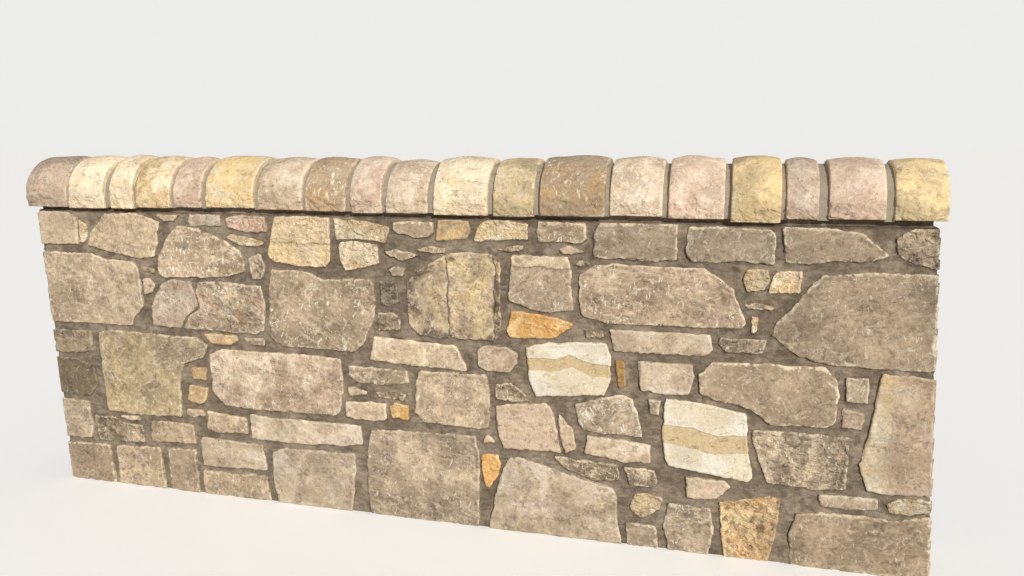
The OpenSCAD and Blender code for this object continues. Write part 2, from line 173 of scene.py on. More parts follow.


# Each finish: tones from dark to light and the size of their clouds in mm; how strongly it is blotched;
# patches of another tone and their share; shares of pale scuffs, of painted shade in pits and in cracks,
# and of pale arrises, partly a painted highlight; how rough it is between smooth and rock-faced; dirt and
# painted shade in its hollows; and its relief in mm: broad swell, ledges and split facets. A margin is a
# tone along the edges: its share, its width in mm and how rare it is. A seam crosses a few of them: a
# ledge, with painted shade under it, under a top of another tone, a folded band, upright clefts darkened
# with painted shade, or a stain over the right-hand part. A band has a tone and half its width in mm.
FINISHES = {
    # dressed pale stone, nearly plain
    "pale_cream": dict(
        tones=("buff", "cream", "cream"), cloud=90, blotch=0.6, patch=("tan", 0.15), scuffs=0.4,
        pit_shade=0.5, crack_shade=0.1, chips=0.4, rough=0.2, relief=(1.5, 0.6, 0.8),
    ),
    # freshly split yellow cream with hollows and ledges
    "split_cream": dict(
        tones=("yellow", "cream", "ivory"), cloud=60, blotch=0.7, patch=("tan", 0.25), scuffs=0.1,
        pit_shade=0.2, crack_shade=0.4, chips=0.2, rough=0.9, dirt_and_shade=("rust", 0.3), relief=(2.0, 6.0, 5.2),
    ),
    # yellow split stone under a paler bed face
    "ledged_cream": dict(
        tones=("yellow", "yellow", "cream"), cloud=70, blotch=0.7, patch=("tan", 0.3), scuffs=0.2,
        pit_shade=0.3, crack_shade=0.3, chips=0.4, rough=0.6, dirt_and_shade=("rust", 0.2), relief=(2.0, 3.0, 3.4),
        seam=("ledge", 0.48), top="cream",
    ),
    # pale weathered bed face
    "cream_flag": dict(
        tones=("buff", "cream", "shell"), cloud=110, blotch=0.8, patch=("drab", 0.3), scuffs=0.4,
        pit_shade=0.4, crack_shade=0.2, chips=0.6, rough=0.25, relief=(2.5, 1.2, 1.2),
    ),
    # warm buff with grey clouds and pale scuffs
    "buff_flag": dict(
        tones=("drab", "buff", "cream"), cloud=110, blotch=1.0, patch=("grey", 0.35), scuffs=0.7,
        pit_shade=0.6, crack_shade=0.3, chips=0.7, rough=0.3, relief=(3.0, 1.6, 1.6),
    ),
    # smooth grey buff flag with pale chipped edges
    "grey_flag": dict(
        tones=("grey", "grey", "drab"), cloud=120, blotch=0.8, patch=("drab", 0.4), scuffs=0.45,
        pit_shade=0.2, crack_shade=0.15, chips=1.0, rough=0.15, relief=(2.2, 0.8, 0.7),
    ),
    # large grey buff flag, split away to ivory in places along its edges
    "chipped_grey": dict(
        tones=("grey", "drab", "buff"), cloud=150, blotch=1.0, patch=("drab", 0.3), scuffs=0.6, pit_shade=0.3,
        crack_shade=0.15, chips=1.0, rough=0.2, margin=("ivory", 0.8, 13, 0.53), relief=(2.6, 1.0, 0.9),
    ),
    # grey flag crossed by white scuffs
    "scuffed_grey": dict(
        tones=("grey", "drab", "buff"), cloud=100, blotch=1.0, patch=("dark", 0.3), scuffs=1.0,
        pit_shade=0.35, crack_shade=0.25, chips=0.8, rough=0.25, relief=(2.6, 1.4, 1.2),
    ),
    # pinkish buff flag crossed by pale scuffs
    "scuffed_buff": dict(
        tones=("drab", "buff", "rose"), cloud=90, blotch=1.1, patch=("grey", 0.4), scuffs=1.0, pit_shade=0.5,
        crack_shade=0.5, chips=0.9, rough=0.4, relief=(3.2, 2.6, 1.8),
    ),
    # grey and cream in small patches, as lichen leaves it
    "mottled_grey": dict(
        tones=("dark", "drab", "cream"), cloud=80, blotch=1.0, patch=("umber", 0.2), scuffs=0.5,
        pit_shade=0.6, crack_shade=0.7, chips=0.6, rough=0.8, relief=(2.6, 4.0, 4.0),
    ),
    # big grey bed face, cream where it has split away
    "clouded_grey": dict(
        tones=("grey", "drab", "cream"), cloud=170, blotch=1.0, patch=("dark", 0.35), scuffs=0.7,
        pit_shade=0.3, crack_shade=0.6, chips=0.5, rough=0.35, relief=(3.0, 3.2, 1.4),
    ),
    # dark stone with a few pale marks
    "dark_flag": dict(
        tones=("dark", "dark", "drab"), cloud=60, blotch=1.0, patch=("umber", 0.25), scuffs=0.8,
        pit_shade=0.5, crack_shade=0.6, chips=0.6, rough=0.6, relief=(2.6, 3.0, 3.0),
    ),
    # yellow stone under grey-green weathering
    "olive_flag": dict(
        tones=("grey", "olive", "olive"), cloud=150, blotch=1.1, patch=("yellow", 0.4), scuffs=0.6,
        pit_shade=0.35, crack_shade=0.3, chips=0.6, rough=0.25, relief=(2.4, 1.8, 1.0),
    ),
    # pale pink with cream blotches and pits in clumps
    "pink_flag": dict(
        tones=("rose", "blush", "shell"), cloud=90, blotch=1.1, patch=("drab", 0.5), scuffs=0.9,
        pit_shade=0.8, crack_shade=0.5, chips=0.7, rough=0.4, relief=(3.4, 2.2, 2.0),
    ),
    # smooth pinkish beige
    "rose_flag": dict(
        tones=("buff", "blush", "cream"), cloud=110, blotch=0.7, patch=("rose", 0.4), scuffs=0.4,
        pit_shade=0.3, crack_shade=0.2, chips=0.6, rough=0.2, relief=(2.0, 0.8, 0.9),
    ),
    # cream broken by red patches
    "red_patched": dict(
        tones=("rose", "blush", "cream"), cloud=60, blotch=0.9, patch=("red", 0.6), scuffs=0.3, pit_shade=0.4,
        crack_shade=0.7, chips=0.2, rough=0.7, relief=(2.4, 3.4, 3.4),
    ),
    # pink, grey and orange clouds
    "rusty_flag": dict(
        tones=("grey", "buff", "rose"), cloud=130, blotch=1.2, patch=("rust", 0.3), scuffs=0.8, pit_shade=0.7,
        crack_shade=0.6, chips=0.8, rough=0.5, relief=(3.2, 2.6, 2.4),
    ),
    # pale buff, brown-stained along its edges, with two upright clefts
    "stained_buff": dict(
        tones=("drab", "buff", "yellow"), cloud=80, blotch=1.2, patch=("tan", 0.35), scuffs=0.5,
        pit_shade=0.5, crack_shade=0.3, chips=0.4, rough=0.4, dirt_and_shade=("umber", 0.4),
        margin=("umber", 0.75, 42, 0.48), relief=(4.0, 2.0, 2.4), seam=("clefts", 0.44, 0.93),
    ),
    # orange sandstone, evenly coloured
    "golden": dict(
        tones=("golden", "golden", "honey"), cloud=60, blotch=0.4, patch=("rust", 0.1), scuffs=0.1,
        pit_shade=0.15, crack_shade=0.2, chips=0.2, rough=0.5, dirt_and_shade=("rust", 0.4), relief=(2.0, 1.6, 2.4),
    ),
    # tan stone with orange clouds
    "golden_buff": dict(
        tones=("tan", "buff", "honey"), cloud=60, blotch=0.8, patch=("golden", 0.4), scuffs=0.3,
        pit_shade=0.3, crack_shade=0.3, chips=0.3, rough=0.4, dirt_and_shade=("rust", 0.3), relief=(2.6, 2.0, 2.0),
    ),
    # smooth ivory stone with one straw-coloured band folded across it
    "banded": dict(
        tones=("ivory", "ivory", "chalk"), cloud=150, blotch=0.35, patch=("cream", 0.3), scuffs=0.1,
        pit_shade=0.1, crack_shade=0.1, chips=0.2, rough=0.1, dirt_and_shade=("tan", 0.1), relief=(2.4, 1.4, 0.6),
        seam=("fold", 0.57, 0.12, 0.14), band=("yellow", 24),
    ),
    # the same with a broad band that sags between its ends
    "broad_banded": dict(
        tones=("ivory", "ivory", "chalk"), cloud=150, blotch=0.35, patch=("cream", 0.3), scuffs=0.1,
        pit_shade=0.1, crack_shade=0.4, chips=0.2, rough=0.1, dirt_and_shade=("tan", 0.1), relief=(2.4, 2.0, 0.6),
        seam=("fold", 0.55, -0.06, 0.25), band=("yellow", 36),
    ),
    # grey bed face with a split cream strip along its top
    "tan_topped": dict(
        tones=("grey", "drab", "drab"), cloud=100, blotch=0.9, patch=("buff", 0.4), scuffs=0.55,
        pit_shade=0.2, crack_shade=0.3, chips=0.6, rough=0.25, relief=(2.4, 2.0, 0.9), seam=("ledge", 0.8),
        top="cream",
    ),
    # ochre with dark rusty spots
    "spotted_ochre": dict(
        tones=("tan", "tan", "yellow"), cloud=60, blotch=1.1, patch=("umber", 0.55), scuffs=0.3,
        pit_shade=1.0, crack_shade=0.4, chips=0.2, rough=0.7, dirt_and_shade=("rust", 0.5), relief=(2.6, 5.0, 4.4),
    ),
    # cream on the left and pinkish on the right
    "two_toned": dict(
        tones=("yellow", "cream", "ivory"), cloud=110, blotch=0.8, patch=("tan", 0.2), scuffs=0.4,
        pit_shade=0.4, crack_shade=0.2, chips=0.6, rough=0.3, relief=(3.0, 2.0, 1.4), seam=("stain", 0.4),
        top="rose",
    ),
}

# Finishes of the cope stones: tooled nearly smooth above and rock-faced along the foot, with pale flecks
COPE_FINISHES = {
    # pinkish brown with pale flecks
    "cope_pink": dict(tones=("drab", "rose", "blush"), cloud=100, patch=("mauve", 0.4), flecks=0.6),
    # pale cream, nearly clean
    "cope_cream": dict(tones=("cream", "ivory", "ivory"), cloud=120, patch=("honey", 0.45), flecks=0.1),
    # cream with a brown iron stain
    "cope_stained": dict(tones=("yellow", "cream", "ivory"), cloud=90, patch=("rust", 0.5), flecks=0.1),
    # pale pink
    "cope_blush": dict(tones=("rose", "blush", "shell"), cloud=110, patch=("rose", 0.5), flecks=0.35),
    # golden yellow, the palest part of it like honey
    "cope_honey": dict(tones=("honey", "honey", "ivory"), cloud=110, patch=("golden", 0.35), flecks=0.1),
    # yellow under olive clouds
    "cope_golden": dict(
        tones=("olive", "yellow", "honey"), cloud=120, patch=("golden", 0.15), flecks=0.2,
    ),
    # tan brown with strong white chisel marks
    "cope_tan": dict(tones=("drab", "drab", "tan"), cloud=150, patch=("olive", 0.4), flecks=1.0),
    # warmer brown with the same marks
    "cope_brown": dict(tones=("drab", "tan", "tan"), cloud=150, patch=("olive", 0.4), flecks=1.0),
    # greenish tan
    "cope_olive": dict(tones=("olive", "yellow", "cream"), cloud=110, patch=("drab", 0.4), flecks=0.3),
    # pale beige with flecks
    "cope_beige": dict(tones=("buff", "cream", "shell"), cloud=100, patch=("blush", 0.5), flecks=0.7),
}
for finish in COPE_FINISHES.values():
    finish |= dict(blotch=0.8, scuffs=0.35, pit_shade=0.15, crack_shade=0.3, chips=0.8, rough=0.3, dirt_and_shade=("umber", 0.2),
                   rock_foot=True)

# Finish of each stone on the front, from left to right, and of each end stone, from the top down. A stone
# is lighter than its finish by one mark for each + and darker for each -.
STONES = {
    "top_stones": """
        buff_flag+ scuffed_grey++ pink_flag- red_patched+ ledged_cream++ split_cream+ split_cream
        grey_flag+ golden_buff- split_cream++ scuffed_grey+ grey_flag grey_flag grey_flag
    """,
    "upper_stones": """
        pink_flag-- rusty_flag+ scuffed_grey dark_flag dark_flag--- stained_buff+ golden+ tan_topped++
        scuffed_buff dark_flag split_cream split_cream++
    """,
    "middle_stones": """
        olive_flag+ pink_flag cream_flag+ scuffed_grey+ cream_flag++ buff_flag+ pink_flag- mottled_grey++
        banded cream_flag cream_flag grey_flag+ scuffed_buff-- buff_flag
    """,
    "lower_stones": """
        mottled_grey buff_flag- buff_flag+ cream_flag rose_flag cream_flag dark_flag+ scuffed_grey+
        cream_flag mottled_grey+++ broad_banded rose_flag+ mottled_grey++ buff_flag
    """,
    "foot_stones": """
        buff_flag grey_flag cream_flag buff_flag cream_flag- clouded_grey cream_flag- grey_flag
        scuffed_grey spotted_ochre++
    """,
    "pinnings": """
        split_cream++ cream_flag rose_flag olive_flag buff_flag buff_flag golden_buff+ golden_buff--
        golden_buff+ split_cream grey_flag mottled_grey+ cream_flag dark_flag golden+ grey_flag grey_flag
        scuffed_grey- cream_flag golden++ mottled_grey rose_flag mottled_grey mottled_grey-- golden---
        split_cream grey_flag split_cream+ mottled_grey++
    """,
    "left_quoins": """
        pale_cream buff_flag scuffed_grey--- olive_flag----- buff_flag grey_flag
    """,
    "right_quoins": """
        mottled_grey- chipped_grey- two_toned- split_cream-- chipped_grey-
    """,
}

# Finish of each cope stone, from left to right, with the same marks
COPE = """
    cope_pink cope_cream++ cope_cream++ cope_stained++ cope_blush+ cope_honey+ cope_beige+ cope_tan+
    cope_blush+ cope_beige+ cope_cream++ cope_olive++ cope_brown- cope_beige++ cope_blush++ cope_golden++
    cope_blush- cope_blush+ cope_golden++
""".split()
# How much lighter or darker one mark makes a stone, as a share
MARK = 0.11
# The stones of the back take the finishes of the front from this many places further along
BACK_SHIFT = 5

# The finishes of the piece being made, in the order of its material slots
piece_finishes = []

# What the meshes tell the materials: where a point lies on its stone and how far it is from its edge; its
# hollow, which the stone material darkens with dirt and painted shade, or on the pointing its groove under a
# stone, which the mortar material darkens with painted shadow; its chipping and its seam; the number of its
# stone; and the tint of that stone
LIE, SHAPE, STONE, TINT = "lie", "shape", "stone", "tint"
MATH, MIX, RANGE, NOISE = "ShaderNodeMath", "ShaderNodeMix", "ShaderNodeMapRange", "ShaderNodeTexNoise"
ATTRIBUTE, MAPPING, BUMP = "ShaderNodeAttribute", "ShaderNodeMapping", "ShaderNodeBump"
PARTS, TURN, VECTOR = "ShaderNodeSeparateXYZ", "ShaderNodeVectorRotate", "ShaderNodeVectorMath"


def add(tree, kind, inputs=None, output=0, **settings):
    """Adds a node, sets it up and returns one of its outputs. An input given a socket is linked to it, and
    any other value is set on it."""
    made = tree.nodes.new(kind)
    for name, value in settings.items():
        setattr(made, name, value)
    for key, value in (inputs or {}).items():
        if isinstance(value, bpy.types.NodeSocket):
            tree.links.new(value, made.inputs[key])
        else:
            made.inputs[key].default_value = value
    return made.outputs[output] if made.outputs else None


def start_material(name):
    """An empty material with its output and shader."""
    material = bpy.data.materials.new(name)
    material.use_nodes = True
    tree = material.node_tree
    tree.nodes.clear()
    surface = add(tree, "ShaderNodeBsdfPrincipled", output="BSDF")
    add(tree, "ShaderNodeOutputMaterial", {"Surface": surface})
    return material, tree, surface.node


def tone(name):
    """One of the wall's colours, as a node takes it."""
    return (*getattr(bpy.context.scene.wall_colours, name), 1.0)


def patches(tree, place, shift, size, low, high, detail=4.0, rough=0.6):
    """Patches about size mm wide: 0 where their noise is under low and 1 where it is over high, or the
    other way round where high is the lower. They differ from other patches by their shift, in metres."""
    moved = add(tree, VECTOR, {0: place, 1: (shift, 2.3 * shift, 0.7 * shift)}, operation="ADD")
    field = add(tree, NOISE, {
        "Vector": moved, "Scale": 1 / (size * MM), "Detail": detail, "Roughness": rough, "Distortion": 0.4,
    })
    return add(tree, RANGE, {"Value": field, "From Min": low, "From Max": high},
               interpolation_type="SMOOTHSTEP")


def lines(tree, place, shift, size, width):
    """Thin wandering lines, size mm apart: 1 along them and 0 beside them."""
    moved = add(tree, VECTOR, {0: place, 1: (shift, 2.3 * shift, 0.7 * shift)}, operation="ADD")
    field = add(tree, NOISE, {
        "Vector": moved, "Scale": 1 / (size * MM), "Detail": 4.0, "Roughness": 0.62, "Distortion": 0.3,
    })
    middle = add(tree, MATH, {0: field, 1: 0.5}, operation="SUBTRACT")
    away = add(tree, MATH, {0: middle}, operation="ABSOLUTE")
    return add(tree, RANGE, {"Value": away, "From Min": width, "From Max": 0.25 * width},
               interpolation_type="SMOOTHSTEP")


def lay(tree, colour, over, *shares):
    """Lays a tone over a colour, as strongly as its shares multiplied."""
    share = shares[0]
    for more in shares[1:]:
        share = add(tree, MATH, {0: share, 1: more}, operation="MULTIPLY")
    return add(tree, MIX, {0: share, 6: colour, 7: tone(over)}, 2, data_type="RGBA")


def shade(tree, colour, field, dark, light):
    """Darkens a colour where a field is low and lightens it where it is high."""
    grey = add(tree, RANGE, {
        "Value": field, "From Min": 0.32, "From Max": 0.68, "To Min": 1 - dark, "To Max": 1 + light,
    })
    return add(tree, MIX, {0: 1.0, 6: colour, 7: grey}, 2, data_type="RGBA", blend_type="MULTIPLY")


def stone_fields(tree, cloud):
    """What the patterns of a stone read: a place, moved far apart for each stone; the same place turned with
    the beds; what the mesh says there; and the noises that several patterns share."""
    number = add(tree, ATTRIBUTE, output="Fac", attribute_name=STONE)
    apart = add(tree, VECTOR, {0: (37.0, 61.0, 17.0), "Scale": number}, operation="SCALE")
    spot = add(tree, "ShaderNodeTexCoord", output="Object")
    place = add(tree, VECTOR, {0: spot, 1: apart}, operation="ADD")
    lie = add(tree, ATTRIBUTE, output="Vector", attribute_name=LIE)
    _, up, from_edge = add(tree, PARTS, {0: lie}).node.outputs
    shape = add(tree, ATTRIBUTE, output="Vector", attribute_name=SHAPE)
    hollow, chipped, from_seam = add(tree, PARTS, {0: shape}).node.outputs
    tilt = add(tree, RANGE, {"Value": number, "To Min": -0.8, "To Max": 0.8})
    turned = add(tree, TURN, {"Vector": place, "Angle": tilt}, rotation_type="Y_AXIS")
    angle = add(tree, MATH, {0: number, 1: 40.0}, operation="MULTIPLY")
    slanted = add(tree, TURN, {
        "Vector": lie, "Center": (0.5, 0.5, 0), "Angle": angle,
    }, rotation_type="Z_AXIS")
    clouds = add(tree, NOISE, {
        "Vector": place, "Scale": 1 / (cloud * MM), "Detail": 3.0, "Roughness": 0.5, "Distortion": 0.6,
    })
    # Small lumps and fine grain are coarser than real sand, so that they show
    lumps = add(tree, NOISE, {"Vector": place, "Scale": 1 / (14 * MM), "Detail": 4.0, "Roughness": 0.62})
    grain = add(tree, NOISE, {"Vector": place, "Scale": 1 / (4.5 * MM), "Detail": 2.0, "Roughness": 0.6})
    return SimpleNamespace(
        place=place, turned=turned, across=add(tree, PARTS, {0: slanted}), up=up, from_edge=from_edge,
        hollow=hollow, chipped=chipped, from_seam=from_seam, clouds=clouds, lumps=lumps, grain=grain,
    )


def clouded(tree, on, tones, cloud, blotch, patch, top):
    """Broad clouds of the tones of a stone, with one side of it lighter than the other, and patches."""
    height = add(tree, MATH, {0: on.across, 1: 0.16, 2: on.clouds}, operation="MULTIPLY_ADD")
    colour = add(tree, "ShaderNodeValToRGB", {0: height})
    stops = colour.node.color_ramp.elements
    stops.new(0.5)
    for stop, at, key in zip(stops, (0.47, 0.58, 0.69), tones):
        stop.position = at
        stop.color = tone(key)
    if top:
        above = add(tree, RANGE, {"Value": on.from_seam, "From Min": -2 * MM, "From Max": 2 * MM})
        colour = lay(tree, colour, top, above, 0.85)
    mottle = 0.42 * cloud
    colour = lay(tree, colour, tones[2], patches(tree, on.place, 7, mottle, 0.5, 0.62), 0.5 * blotch)
    colour = lay(tree, colour, tones[0], patches(tree, on.place, 9, mottle, 0.5, 0.38), 0.5 * blotch)
    patch_tone, patch_share = patch
    blots = patches(tree, on.place, 11, 0.55 * cloud, 0.5, 0.6, 6)
    colour = lay(tree, colour, patch_tone, blots, patch_share)
    broad = add(tree, VECTOR, {0: on.place, 1: (5, 3, 8)}, operation="ADD")
    shadows = add(tree, NOISE, {
        "Vector": broad, "Scale": 1 / (1.1 * cloud * MM), "Detail": 3.0, "Roughness": 0.55,
    })
    return shade(tree, colour, shadows, 0.26 * blotch, 0.18 * blotch)


def banded(tree, on, colour, relief, band_tone, half_width):
    """A band along the seam of the stone, a little sunk and speckled with tan, under a pale rim that is a
    painted highlight along its upper edge.
    """
    off_middle = add(tree, MATH, {0: on.from_seam}, operation="ABSOLUTE")
    inside = add(tree, RANGE, {
        "Value": off_middle, "From Min": half_width * MM, "From Max": (half_width - 3) * MM,
    })
    colour = lay(tree, colour, band_tone, inside, 0.9)
    bedded = add(tree, MAPPING, {"Vector": on.turned, "Scale": (0.4, 1.0, 1.0)})
    colour = lay(tree, colour, "tan", inside, patches(tree, bedded, 13, 10, 0.5, 0.62), 0.45)
    over_middle = add(tree, MATH, {0: on.from_seam, 1: (half_width + 2) * MM}, operation="SUBTRACT")
    from_highlit_rim = add(tree, MATH, {0: over_middle}, operation="ABSOLUTE")
    rim = add(tree, RANGE, {"Value": from_highlit_rim, "From Min": 4 * MM, "From Max": 1 * MM})
    # Painted highlight: chalk along the upper edge of the sunk band
    colour = lay(tree, colour, "chalk", rim, 0.7)
    return colour, add(tree, MATH, {0: inside, 1: -2.0, 2: relief}, operation="MULTIPLY_ADD")


def weathered_and_shaded(tree, on, colour, relief, dirt_and_shade, margin, pit_shade):
    """Weather comes and goes over the face: dirt and painted shade in hollows, a stained margin, and pits in
    clumps darkened with painted shade.
    """
    dirt_and_shade_tone, dirt_and_shade_share = dirt_and_shade
    # Dirt and painted shade: the hollows of the stone take this tone, in patches
    sunk = add(tree, MATH, {0: on.hollow, 1: -0.35, 2: on.lumps}, operation="MULTIPLY_ADD")
    low = add(tree, RANGE, {"Value": sunk, "From Min": 0.3, "From Max": 0.2},
              interpolation_type="SMOOTHSTEP")
    colour = lay(tree, colour, dirt_and_shade_tone, low, patches(tree, on.place, 31, 80, 0.46, 0.56), dirt_and_shade_share)
    if margin:
        margin_tone, margin_share, width, rare = margin
        ragged = add(tree, MATH, {
            0: on.clouds, 1: 2.4 * width * MM, 2: on.from_edge,
        }, operation="MULTIPLY_ADD")
        rind = add(tree, RANGE, {
            "Value": ragged, "From Min": 2.1 * width * MM, "From Max": 1.5 * width * MM,
        })
        here = patches(tree, on.place, 17, 60, rare - 0.02, rare + 0.03)
        colour = lay(tree, colour, margin_tone, rind, here, margin_share)
    cells = add(tree, "ShaderNodeTexVoronoi", {"Vector": on.place, "Scale": 1 / (8 * MM)})
    holes = add(tree, RANGE, {"Value": cells, "From Min": 0.36, "From Max": 0.16})
    pit = add(tree, MATH, {0: holes, 1: patches(tree, on.place, 43, 34, 0.58, 0.64)}, operation="MULTIPLY")
    # Painted shade: umber laid in the pits
    colour = lay(tree, colour, "umber", pit, 0.6 * pit_shade)
    return colour, add(tree, MATH, {0: pit, 1: -0.8, 2: relief}, operation="MULTIPLY_ADD")


def scuffed(tree, on, colour, scuffs, flecks):
    """Pale marks: chalky blotches, sweeping smears, thin scratches, short strokes and a chisel's flecks."""
    chalk = patches(tree, on.place, 53, 30, 0.57, 0.625, 6, 0.7)
    colour = lay(tree, colour, "ivory", chalk, 0.6 * scuffs)
    swept = add(tree, MAPPING, {"Vector": on.turned, "Scale": (0.3, 1.0, 1.0)})
    colour = lay(tree, colour, "ivory", patches(tree, swept, 55, 20, 0.57, 0.63), 0.4 * scuffs)
    scratch = lines(tree, on.turned, 57, 55, 0.011)
    colour = lay(tree, colour, "chalk", scratch, patches(tree, on.place, 59, 50, 0.5, 0.54), 0.9 * scuffs)
    upright = add(tree, MAPPING, {"Vector": on.turned, "Scale": (1.0, 1.0, 0.25)})
    strokes = patches(tree, upright, 61, 9, 0.59, 0.63)
    colour = lay(tree, colour, "chalk", strokes, patches(tree, on.place, 67, 60, 0.49, 0.53), 0.85 * scuffs)
    if flecks:
        slanting = add(tree, MAPPING, {
            "Vector": on.place, "Rotation": (0.5, 0.9, 0.3), "Scale": (1.0, 1.0, 0.3),
        })
        marks = patches(tree, slanting, 71, 12, 0.56, 0.6, 3)
        colour = lay(tree, colour, "chalk", marks, patches(tree, on.place, 73, 60, 0.48, 0.56), 0.8 * flecks)
    return colour


def rock_faced(tree, on, colour, relief, foot_tone, rough, rock_foot):
    """Rock-faced places bulge between creases, and the creases are darkened with painted shade. On a cope
    stone they lie along its foot, which has a tone of its own."""
    rocky = rough
    crease_shade_share = 0.28
    swell = 5.5
    if rock_foot:
        ragged = add(tree, MATH, {0: on.clouds, 1: 0.5, 2: on.up}, operation="MULTIPLY_ADD")
        rocky = add(tree, RANGE, {"Value": ragged, "From Min": 0.6, "From Max": 0.46, "To Min": 0.2})
        crease_shade_share = 0.15
        swell = 3.5
        colour = lay(tree, colour, foot_tone, rocky, 0.5)
    broken = add(tree, NOISE, {
        "Vector": add(tree, MAPPING, {"Vector": on.turned, "Scale": (0.7, 1.0, 1.0)}),
        "Scale": 1 / (30 * MM), "Detail": 3.0, "Roughness": 0.55, "Distortion": 0.5,
    })
    off_middle = add(tree, MATH, {0: broken, 1: 0.5}, operation="SUBTRACT")
    from_crease = add(tree, MATH, {0: off_middle}, operation="ABSOLUTE")
    bulge = add(tree, RANGE, {
        "Value": from_crease, "From Max": 0.2, "To Max": swell,
    }, interpolation_type="SMOOTHSTEP")
    crease = add(tree, RANGE, {"Value": from_crease, "From Min": 0.03, "From Max": 0.0})
    share = add(tree, MATH, {0: rocky, 1: crease_shade_share}, operation="MULTIPLY")
    # Painted shade: umber in the creases
    colour = lay(tree, colour, "umber", crease, patches(tree, on.place, 81, 30, 0.48, 0.56), share)
    return colour, add(tree, MATH, {0: bulge, 1: rocky, 2: relief}, operation="MULTIPLY_ADD")


def cracked_and_shaded(tree, on, colour, relief, crack_shade, seam):
    """Thin cracks between the beds of the stone, in a few places, darkened with painted shade, the painted
    shade down its clefts and the painted shade under its ledge."""
    seam_kind = seam[0] if seam else None
    sloping = add(tree, MAPPING, {"Vector": on.turned, "Scale": (0.4, 1.0, 1.3)})
    opened = lines(tree, sloping, 87, 75, 0.011)
    here = patches(tree, on.place, 89, 45, 0.53, 0.58)
    crack = add(tree, MATH, {0: opened, 1: here}, operation="MULTIPLY")
    # Painted shade: umber in the cracks
    colour = lay(tree, colour, "umber", crack, 0.85 * crack_shade)
    relief = add(tree, MATH, {0: crack, 1: -1.2, 2: relief}, operation="MULTIPLY_ADD")
    if seam_kind == "clefts":
        beside = add(tree, MATH, {0: on.from_seam}, operation="ABSOLUTE")
        cleft = add(tree, RANGE, {"Value": beside, "From Min": 4 * MM, "From Max": 1 * MM})
        # Painted shade: umber down the clefts
        colour = lay(tree, colour, "umber", cleft, patches(tree, on.place, 91, 30, 0.42, 0.54), 0.7)
        relief = add(tree, MATH, {0: cleft, 1: -2.5, 2: relief}, operation="MULTIPLY_ADD")
    if seam_kind == "ledge":
        # Painted shade: umber in a band under the ledge, fading downwards
        ledge_shade = add(tree, RANGE, {"Value": on.from_seam, "From Min": -22 * MM, "From Max": -2 * MM})
        below = add(tree, RANGE, {"Value": on.from_seam, "From Min": 1 * MM, "From Max": -1 * MM})
        colour = lay(tree, colour, "umber", ledge_shade, below, 0.32)
    return colour, relief


def knocked_and_highlit(tree, on, colour, chips):
    """Arrises are knocked back to fresh pale stone, and the pale rim along each edge is partly a painted
    highlight.
    """
    # Ivory along the edges, in patches: partly fresh chips, partly a painted highlight
    worn = add(tree, MATH, {0: on.lumps, 1: 36 * MM, 2: on.from_edge}, operation="MULTIPLY_ADD")
    arris = add(tree, RANGE, {"Value": worn, "From Min": 25 * MM, "From Max": 21 * MM})
    colour = lay(tree, colour, "ivory", arris, patches(tree, on.place, 97, 32, 0.47, 0.52), 0.75 * chips)
    broken = add(tree, MATH, {0: on.lumps, 1: 1.6, 2: on.chipped}, operation="MULTIPLY_ADD")
    fresh = add(tree, RANGE, {"Value": broken, "From Min": 1.1, "From Max": 1.3})
    return lay(tree, colour, "ivory", fresh, 0.5)


def sandstone(name, tones, cloud, blotch, patch, scuffs, pit_shade, crack_shade, chips, rough, dirt_and_shade=("umber", 0.3),
              margin=None, band=None, top=None, seam=None, flecks=0.0, rock_foot=False):
    """Sandstone: a matt stone in soft clouds of like tones, with crisp pale scuffs and pits here and there,
    the pits dark with painted shade, weathered in places, rough where it is rock-faced."""
    material, tree, shader = start_material(name)
    on = stone_fields(tree, cloud)
    colour = clouded(tree, on, tones, cloud, blotch, patch, top)
    relief = add(tree, MATH, {0: on.lumps, 1: 1.8 + 2.5 * rough}, operation="MULTIPLY")
    relief = add(tree, MATH, {0: on.grain, 1: 0.7 + 0.8 * rough, 2: relief}, operation="MULTIPLY_ADD")
    if band:
        colour, relief = banded(tree, on, colour, relief, *band)
    colour = shade(tree, colour, on.lumps, 0.19 * blotch, 0.16 * blotch)
    colour = shade(tree, colour, on.grain, 0.13 + 0.12 * rough, 0.11 + 0.12 * rough)
    colour, relief = weathered_and_shaded(tree, on, colour, relief, dirt_and_shade, margin, pit_shade)
    colour = scuffed(tree, on, colour, scuffs, flecks)
    if rough > 0.45 or rock_foot:
        colour, relief = rock_faced(tree, on, colour, relief, tones[0], rough, rock_foot)
    colour, relief = cracked_and_shaded(tree, on, colour, relief, crack_shade, seam)
    colour = knocked_and_highlit(tree, on, colour, chips)
    tint = add(tree, ATTRIBUTE, attribute_name=TINT)
    colour = add(tree, MIX, {0: 1.0, 6: colour, 7: tint}, 2, data_type="RGBA", blend_type="MULTIPLY")
    tree.links.new(colour, shader.inputs["Base Color"])
    roughness = add(tree, RANGE, {"Value": on.lumps, "To Min": 0.84, "To Max": 0.97})
    tree.links.new(roughness, shader.inputs["Roughness"])
    bump = add(tree, BUMP, {"Strength": 1.0, "Distance": MM, "Height": relief})
    tree.links.new(bump, shader.inputs["Normal"])
    shader.inputs["Specular IOR Level"].default_value = 0.3
    return material


